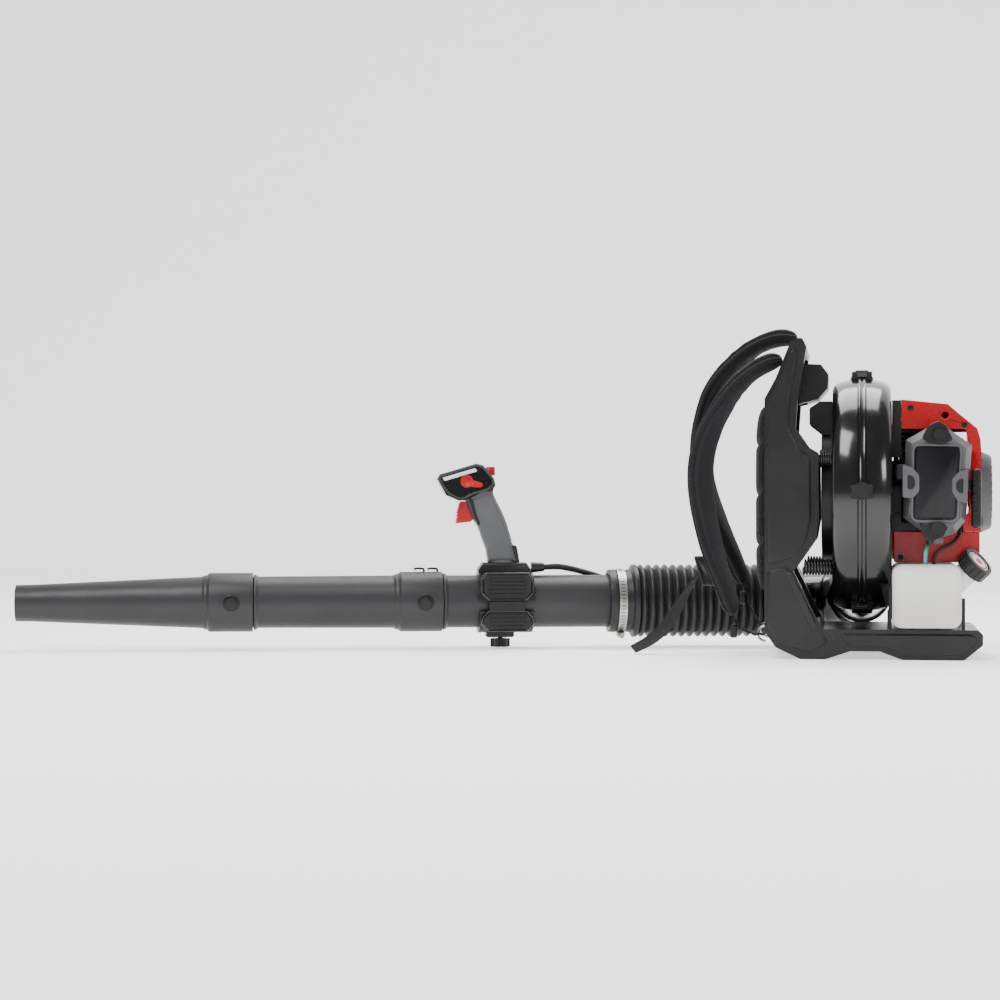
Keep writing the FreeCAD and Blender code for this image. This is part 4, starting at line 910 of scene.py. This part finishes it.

# %% [markdown]
# ## Throttle conduit and fuel lines
# The throttle cable runs in a corrugated sleeve from the hose's clamp to the handle, which
# slides. The fuel lines are soft clear tubes.

# %% Conduit and lines
CONDUIT = [(425, 0, 53), (404, 0, 53.5), (386, -5, 54), (366, -14, 51), (346, -22, 46),
           (328, -29, 41), (309, -36, 35)]
conduit_line = smooth_line(CONDUIT, 480)
conduit_ridges = 4.5 + 0.45 * np.sin(np.linspace(0, 44 * 2 * np.pi, 480))
conduit = pipe_along("corrugated_conduit", placed(conduit_line), conduit_ridges * MM, "rubber",
                     up=(0, 0, 1), around=20)
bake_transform(conduit)
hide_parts("throttle_conduit")
for node, finish in (("supply_line", "teal"), ("return_line", "rubber")):
    softened(node, "pack", finish, 0.1, 1, 60)
print("conduit ridges:", 44)

# %% [markdown]
# ## Small pieces
# The rest is small: raised panels, beads, screws, clips and labels. Three makers cover them all.
# A plate is an outline given a thickness and a bevel. A bead is a thin round bar that follows an
# outline. A spun piece is a profile turned about any axis.

# %% Makers of small pieces
def plain_piece(name, points, faces, finish, body, edge=0.8, segments=2):
    """An object from points and faces, with bevelled corners."""
    mesh = bpy.data.meshes.new(name)
    mesh.from_pydata(np.asarray(points).tolist(), [], faces)
    piece = finished(name, mesh, finish, 35)
    if edge:
        add_bevel(piece, edge, segments, 40)
    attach(piece, body)
    return piece


def spread(flat, depth, on_pipe):
    """Outline points become points in space: (x, depth, z), on the pack or along the pipe."""
    points = np.insert(np.asarray(flat, float), 1, depth, axis=1)
    return placed(points) if on_pipe else points * MM


def plate_piece(name, corners, low, high, finish, body, edge=0.8, round_by=2.0, taper=1.0,
                on_pipe=False):
    """An outline swept from one depth to another; taper shrinks the far end about its middle."""
    flat = corner_arcs(corners, round_by, 4) if round_by else np.asarray(corners, float)
    n = len(flat)
    far = flat.mean(axis=0) + (flat - flat.mean(axis=0)) * taper
    points = np.vstack([spread(flat, low, on_pipe), spread(far, high, on_pipe)])
    faces = [list(range(n)), list(range(2 * n - 1, n - 1, -1))]
    faces += [[i, (i + 1) % n, n + (i + 1) % n, n + i] for i in range(n)]
    return plain_piece(name, points, faces, finish, body, edge)


def bead(name, corners, depth, radius, finish, body, round_by=3.0, on_pipe=False):
    """A round bar along a closed outline: centre + radius * (cos * outward + sin * depth)."""
    flat = corner_arcs(corners, round_by, 6)
    way = np.roll(flat, -1, axis=0) - np.roll(flat, 1, axis=0)
    way /= np.linalg.norm(way, axis=1, keepdims=True)
    outward = np.stack([way[:, 1], -way[:, 0]], axis=1)
    angle = np.linspace(0, 2 * np.pi, 10, endpoint=False)
    ring = flat[:, None] + radius * np.cos(angle)[None, :, None] * outward[:, None]
    depths = depth + radius * np.broadcast_to(np.sin(angle), ring.shape[:2])
    grid = np.stack([ring[..., 0], depths, ring[..., 1]], axis=-1)
    piece = surface(name, placed(grid) if on_pipe else grid * MM, finish, wrap_rows=True, sharp=60)
    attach(piece, body)
    return piece


def spun(name, centre, axis, profile, finish, body, around=48):
    """A profile of (radius, height) turned about an axis through the centre."""
    axis = np.asarray(axis, float) / np.linalg.norm(axis)
    side = np.cross(axis, [0.0, 1.0, 0.0] if abs(axis[1]) < 0.9 else [1.0, 0.0, 0.0])
    side /= np.linalg.norm(side)
    angle = np.linspace(0, 2 * np.pi, around, endpoint=False)
    circle = np.cos(angle)[:, None] * side + np.sin(angle)[:, None] * np.cross(axis, side)
    profile = np.asarray(profile, float)
    grid = (np.asarray(centre, float) + profile[:, None, :1] * circle[None]
            + profile[:, None, 1:] * axis)
    piece = surface(name, grid * MM, finish, sharp=35)
    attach(piece, body)
    return piece


def block(name, centre, axes, half, finish, body, edge=0.8, taper=1.0):
    """A box with its own axes; taper narrows its outer face."""
    signs = np.array([(x, y, z) for z in (-1, 1) for y in (-1, 1) for x in (-1, 1)], float)
    signs[4:, :2] *= taper
    points = np.asarray(centre, float) + (signs * half) @ np.asarray(axes, float)
    faces = [[0, 1, 3, 2], [4, 6, 7, 5], [0, 4, 5, 1], [2, 3, 7, 6], [0, 2, 6, 4], [1, 5, 7, 3]]
    return plain_piece(name, points * MM, faces, finish, body, edge)


print("makers ready")

# %% [markdown]
# ## Frame facets
# The blow-moulded frame has raised fields on its cheeks and base, which stiffen the thin wall.

# %% Facets
CHEEK = 120.0
FIELDS = {
    "cheek": [(-243, 376), (-226, 408), (-208, 450), (-201, 450), (-212, 380), (-214, 338),
              (-197, 304), (-182, 294), (-181, 208), (-187, 178), (-205, 152), (-240, 140)],
    "foot": [(-241, 128), (-212, 132), (-172, 50), (-156, 24), (-184, 10), (-228, 24),
             (-241, 46)],
    "base": [(-138, 36), (52, 36), (58, 30), (36, 9), (-44, 9), (-76, 21), (-122, 21)],
}
for field, corners in FIELDS.items():
    for side in (-1, 1):
        label = "%s_field_%s" % (field, "near" if side < 0 else "far")
        plate_piece(label, corners, side * (CHEEK - 1), side * (CHEEK + 3.2), "frame", "pack",
                    edge=2.4, round_by=7)
    bead("%s_ridge" % field, corners, -CHEEK - 0.4, 1.8, "frame", "pack", round_by=7)
for side in (-1, 1):
    block("foot_rib_%d" % (side + 1), (-192, side * 118.5, 84),
          [(0.42, 0, -0.907), (0.907, 0, 0.42), (0, side, 0)], (46, 4.5, 6.5), "frame", "pack",
          edge=2.0)
print("fields:", len(FIELDS))

# %% [markdown]
# ## Volute clips
# Four spring clips hold the two halves of the volute together. Each is a saddle over the seam
# with crossed prongs that hook behind the flange.

# %% Clips
for place, angle in enumerate(np.radians([95, 180, 248, 20])):
    share = (angle - SCROLL_FROM) / (SCROLL_TO - SCROLL_FROM)
    reach = SCROLL_SMALL + share * (SCROLL_LARGE - SCROLL_SMALL) + 5
    out = np.array([0, math.cos(angle), math.sin(angle)])
    round_way = np.array([0, -math.sin(angle), math.cos(angle)])
    spot = np.array([VOLUTE_MID, 0, CRANK_Z]) + out * reach
    base = [np.array([1.0, 0, 0]), round_way, out]
    saddle = block("clip_saddle_%d" % place, spot, base, (13, 9.5, 4), "black", "pack", 1.2, 0.86)
    if place == 0:
        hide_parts("volute_clips")
    block("clip_bridge_%d" % place, spot + out * 2, base, (8, 12.5, 3.2), "gloss", "pack", 1.0)
    for lean in (-0.42, 0.42):
        arm = np.array([math.cos(lean), 0, 0]) + round_way * math.sin(lean)
        across = np.cross(out, arm)
        block("clip_prong_%d_%d" % (place, lean > 0), spot - out * 1.5, [arm, across, out],
              (19, 2.1, 3.2), "black", "pack", 0.8, 0.8)
block("volute_top_tab", (VOLUTE_MID, 0, CRANK_Z + 173), np.eye(3), (11, 16, 9), "black", "pack",
      1.4, 0.9)
print("clips:", 4)

# %% [markdown]
# ## Air cleaner face
# A gloss panel with round corners sits in the grey cover. A latch grips it from each side, and a
# screw in a black ear holds the cover at top and bottom.

# %% Cleaner face
FACE = -148.0
panel = plate_piece("cleaner_window", [(-31, 309), (33, 308), (27, 204), (-33, 204)], FACE + 1,
                    FACE - 3.6, "panel", "pack", edge=1.2, round_by=9)
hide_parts("cover_panel")
bead("window_rim", [(-33, 311), (35, 310), (29, 202), (-35, 202)], FACE - 0.6, 2.2, "grey",
     "pack", round_by=10)
LATCHES = {"left": [(-49, 284), (-34, 280), (-24, 268), (-24, 244), (-34, 233), (-49, 235)],
           "right": [(45, 277), (32, 275), (21, 263), (21, 243), (29, 229), (44, 226)]}
for hand, corners in LATCHES.items():
    plate_piece(hand + "_latch", corners, FACE + 14, FACE - 5.5, "grey", "pack", edge=1.6,
                round_by=3, taper=0.94)
    middle = np.mean(corners, axis=0)
    slot_shape = middle + (np.asarray(corners) - middle) * 0.42
    plate_piece(hand + "_latch_slot", slot_shape, FACE - 5, FACE - 6.4, "black", "pack", edge=0.5)
plate_piece("top_ear", [(-21, 321), (-12, 339), (2, 346), (14, 339), (23, 319), (13, 313),
                        (-12, 313)], -112, FACE - 1.5, "black", "pack", edge=1.4, round_by=3)
plate_piece("bottom_ear", [(-25, 198), (-19, 182), (-7, 173), (9, 179), (16, 193), (9, 199)],
            -112, FACE - 1.5, "black", "pack", edge=1.4, round_by=3)
print("latches:", len(LATCHES))

# %% [markdown]
# ## Handle
# The grip is an oval bar that follows the hand. Each cross-section is a rounded rectangle
# between the front and the back line of the side view. Shallow rings mark the rubber foot.

# %% Grip
GRIP_FRONT = [(533, 162), (524, 140), (514, 120), (507, 100), (500, 80), (497, 60)]
GRIP_BACK = [(489, 172), (484, 160), (473, 138), (464, 114), (456, 84), (452, 60)]
GRIP_HALF = 15.8
front_line, back_line = smooth_line(GRIP_FRONT, 90), smooth_line(GRIP_BACK, 90)
run = np.linspace(0, 1, 90)[:, None]
angle = np.linspace(0, 2 * np.pi, 56, endpoint=False)
oval_x = np.sign(np.cos(angle)) * np.abs(np.cos(angle)) ** 0.8
oval_y = np.sign(np.sin(angle)) * np.abs(np.sin(angle)) ** 0.8
rings = 1 - 0.035 * sum(np.exp(-((run - spot) / 0.008) ** 2) for spot in (0.55, 0.72, 0.8, 0.93))
half_line = (front_line - back_line) / 2 * rings
middle_line = (front_line + back_line) / 2
flat = middle_line[:, None] + half_line[:, None] * oval_x[None, :, None]
depth = GRIP_HALF * rings * (0.92 + 0.08 * np.cos(run * 5)) * oval_y[None]
grip = surface("grip_bar", placed(np.stack([flat[..., 0], depth, flat[..., 1]], -1)), "grey",
               cap=True, sharp=50)
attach(grip, "handle")
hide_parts("grip_near_half", "grip_far_half")
plate_piece("grip_foot_bracket", [(447, 60), (452, 88), (461, 88), (470, 74), (474, 60)], -11, 11,
            "black", "handle", edge=1.6, round_by=3, on_pipe=True)
plate_piece("trigger_guard", [(529, 163), (518, 128), (513, 118), (509, 121), (515, 136),
                              (521, 160)], -16.2, 16.2, "black", "handle", edge=1.2, round_by=3,
            on_pipe=True)
print("grip faces:", len(grip.data.polygons))

# %% [markdown]
# The head is a dark tray: a raised rim, a gloss well with the cruise lever in it, and a pale
# strip along its upper edge. The clamp below has eight-sided fields with louvres.

# %% Head and clamp
HEAD_RIM = [(575, 191), (571, 197), (517, 213), (506, 210), (491, 192), (490, 183), (497, 176),
            (524, 168), (534, 162), (543, 161), (551, 165), (560, 170)]
WELL = [(568, 190), (518, 205), (508, 203), (497, 190), (498, 183), (528, 176), (545, 168),
        (556, 173)]
HEAD_FACE, CLAMP_FACE = 21.0, 48.6
plate_piece("head_neck", [(488, 183), (500, 186), (530, 172), (536, 158), (520, 158), (490, 166)],
            -15.4, 15.4, "grey", "handle", edge=1.6, round_by=3, on_pipe=True)
for side in (-1, 1):
    label = "near" if side > 0 else "far"
    bead("head_rim_" + label, HEAD_RIM, side * HEAD_FACE, 2.0, "tube", "handle", 3, True)
    plate_piece("head_well_" + label, WELL, side * (HEAD_FACE - 2), side * (HEAD_FACE + 0.35),
                "panel", "handle", edge=0.3, round_by=3, on_pipe=True)
plate_piece("head_strip", [(569, 193.5), (518, 208.5), (515, 203.5), (566, 188.5)], HEAD_FACE - 1,
            HEAD_FACE + 0.8, "pale", "handle", edge=0.4, round_by=1.2, on_pipe=True)
UPPER_FIELD = [(430, 37), (436, 45), (504, 45), (510, 37), (510, 15), (499, 4), (441, 4),
               (430, 15)]
LOWER_FIELD = [(430, -25), (440, -14), (500, -14), (510, -25), (510, -33), (500, -44),
               (440, -44), (430, -33)]
for label, field in (("upper", UPPER_FIELD), ("lower", LOWER_FIELD)):
    for side in (-1, 1):
        hand = "near" if side > 0 else "far"
        plate_piece("clamp_%s_field_%s" % (label, hand), field, side * 30, side * CLAMP_FACE, "black",
                    "handle", edge=1.6, round_by=2, taper=0.94, on_pipe=True)
        bead("clamp_%s_rim_%s" % (label, hand), field, side * CLAMP_FACE, 1.5, "gloss", "handle", 2,
             True)
        levels = (12, 18, 24, 30, 36) if label == "upper" else (-20, -26, -32, -38)
        for level in levels:
            reach = 29 if abs(level) < 37 else 27
            plate_piece("louvre_%s_%s_%d" % (label, hand, abs(level)),
                        [(470 - reach, level - 1.5), (470 + reach, level - 1.5),
                         (470 + reach, level + 1.5), (470 - reach, level + 1.5)], side * 47,
                        side * 50.6, "black", "handle", edge=0.5, round_by=1, on_pipe=True)
collar_line = placed([(428, 0, 53), (424, 0, 53), (414, 0, 53.3), (408, 0, 53.5)])
boot = pipe_along("conduit_boot", collar_line, np.array([8.2, 8.2, 7.2, 6.4]) * MM, "black",
                  up=(0, 0, 1), around=28)
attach(boot, "handle")
print("louvres:", 18)

# %% [markdown]
# Each lock badge has slanting bars across it, so a thumb finds it.

# %% Badge bars
SLANT = np.array([math.cos(math.radians(58)), math.sin(math.radians(58))])
for label, station, collar, body in (("middle", 597, COLLAR, "middle_tube"),
                                     ("nozzle", 896, COLLAR - 1, "nozzle")):
    for shift in (-4.6, -1.6, 1.6, 4.6):
        half = math.sqrt(8.2 ** 2 - shift ** 2)
        side = np.array([-SLANT[1], SLANT[0]])
        corners = [np.array([station, 0]) + SLANT * half * a + side * (shift + b)
                   for a, b in ((-1, -0.7), (1, -0.7), (1, 0.7), (-1, 0.7))]
        plate_piece("%s_bar_%d" % (label, shift * 10), corners, collar - 1.2, collar + 1.5,
                    "tube", body, edge=0.2, round_by=0, on_pipe=True)
print("bars:", 8)

# %% [markdown]
# ## Cap, starter grip and screws
# The fuel cap carries a white disc with a ring and a drop, the usual sign for fuel. The starter
# grip has slanted ribs. Screws hold the covers.

# %% Cap and grip
CAP_WAY = np.array(joints["fuel_cap_turn"]["axis"], float)
cap_top = np.array(joints["fuel_cap_turn"]["pos_m"], float) / MM + CAP_WAY * 14
spun("cap_disc", cap_top, CAP_WAY, [(17.5, -1), (17.5, 0.5), (17, 0.9), (0.01, 0.9)], "pale",
     "fuel_cap")
spun("cap_ring", cap_top, CAP_WAY, [(15.6, 0.8), (15.6, 1.3), (13.2, 1.3), (13.2, 0.8)], "red",
     "fuel_cap")
spun("cap_drop", cap_top, CAP_WAY, [(5.2, 0.8), (5.2, 1.4), (0.01, 1.4)], "red", "fuel_cap")
spun("cap_rim", cap_top, CAP_WAY, [(24.2, -2), (23.6, 1.6), (19, 2.2), (18, 0.6), (18, -1)],
     "black", "fuel_cap")
for rib in range(6):
    level = 205 + rib * 12
    for lean in (-1, 1):
        block("starter_rib_%d_%d" % (rib, lean > 0), (57, -134.3, level),
              [(math.cos(0.7), 0, lean * math.sin(0.7)), (-lean * math.sin(0.7), 0, math.cos(0.7)),
               (0, -1, 0)], (7, 1.1, 1.3), "black", "starter_grip", edge=0.4)
SCREWS = [((-36, -87.5, 367), (0, -1, 0)), ((42, -87.5, 342), (0, -1, 0)),
          ((54, -87.5, 230), (0, -1, 0)), ((-56, -87.5, 210), (0, -1, 0)),
          ((-50, -80.2, 148), (0, -1, 0)), ((56, -80.2, 148), (0, -1, 0)),
          ((-110, 0, 417), (-1, 0, 0))]
for number, (spot, way) in enumerate(SCREWS):
    spun("cover_screw_%d" % number, spot, way, [(4.2, -1), (4.2, 0.8), (3.6, 1.5), (1.9, 1.6),
                                                (1.8, 0.2), (0.01, 0.2)], "black", "pack", 24)
spun("cover_boss", (14, -86.5, 356), (0, -1, 0), [(8.5, -1), (8.2, 1), (5.6, 1.2), (5.3, -0.8)],
     "red", "pack")
for number, angle in enumerate(np.radians(np.arange(0, 360, 15))):
    spot = np.array([83.0, 40 * math.cos(angle), CRANK_Z + 40 * math.sin(angle)])
    block("recoil_vent_%d" % number, spot, [(1, 0, 0), (0, -math.sin(angle), math.cos(angle)),
                                            (0, math.cos(angle), math.sin(angle))],
          (0.9, 1.6, 13), "black", "pack", edge=0.3)
spun("recoil_boss", (83.0, 0, CRANK_Z), (1, 0, 0), [(22, -2), (21, 1.0), (9, 1.6), (8, 0.9),
                                                    (0.01, 0.9)], "grey", "pack", 64)
print("screws:", len(SCREWS))
plate_piece("cover_cheek", [(43, 345), (60, 337), (65, 320), (66, 302), (47, 302)], -83, -87.3,
            "red", "pack", edge=0.8, round_by=2)
# Painted shade: a black box fills the see-through gap below the crankcase, where there is only shade,
# not a skirt.
block("crankcase_shade_filler", (-8, -12, 192), np.eye(3), (51, 62, 8), "black", "pack", edge=1.5)
for rib in range(5):
    level = 128 + rib * 5.6
    plate_piece("trigger_rib_%d" % rib, [(524 + rib * 1.6, level - 1.1), (544, level + 1.4),
                                         (543.6, level + 3.2), (524.6 + rib * 1.6, level + 0.7)],
                -8.7, 8.7, "red", "trigger", edge=0.4, round_by=0.6, on_pipe=True)
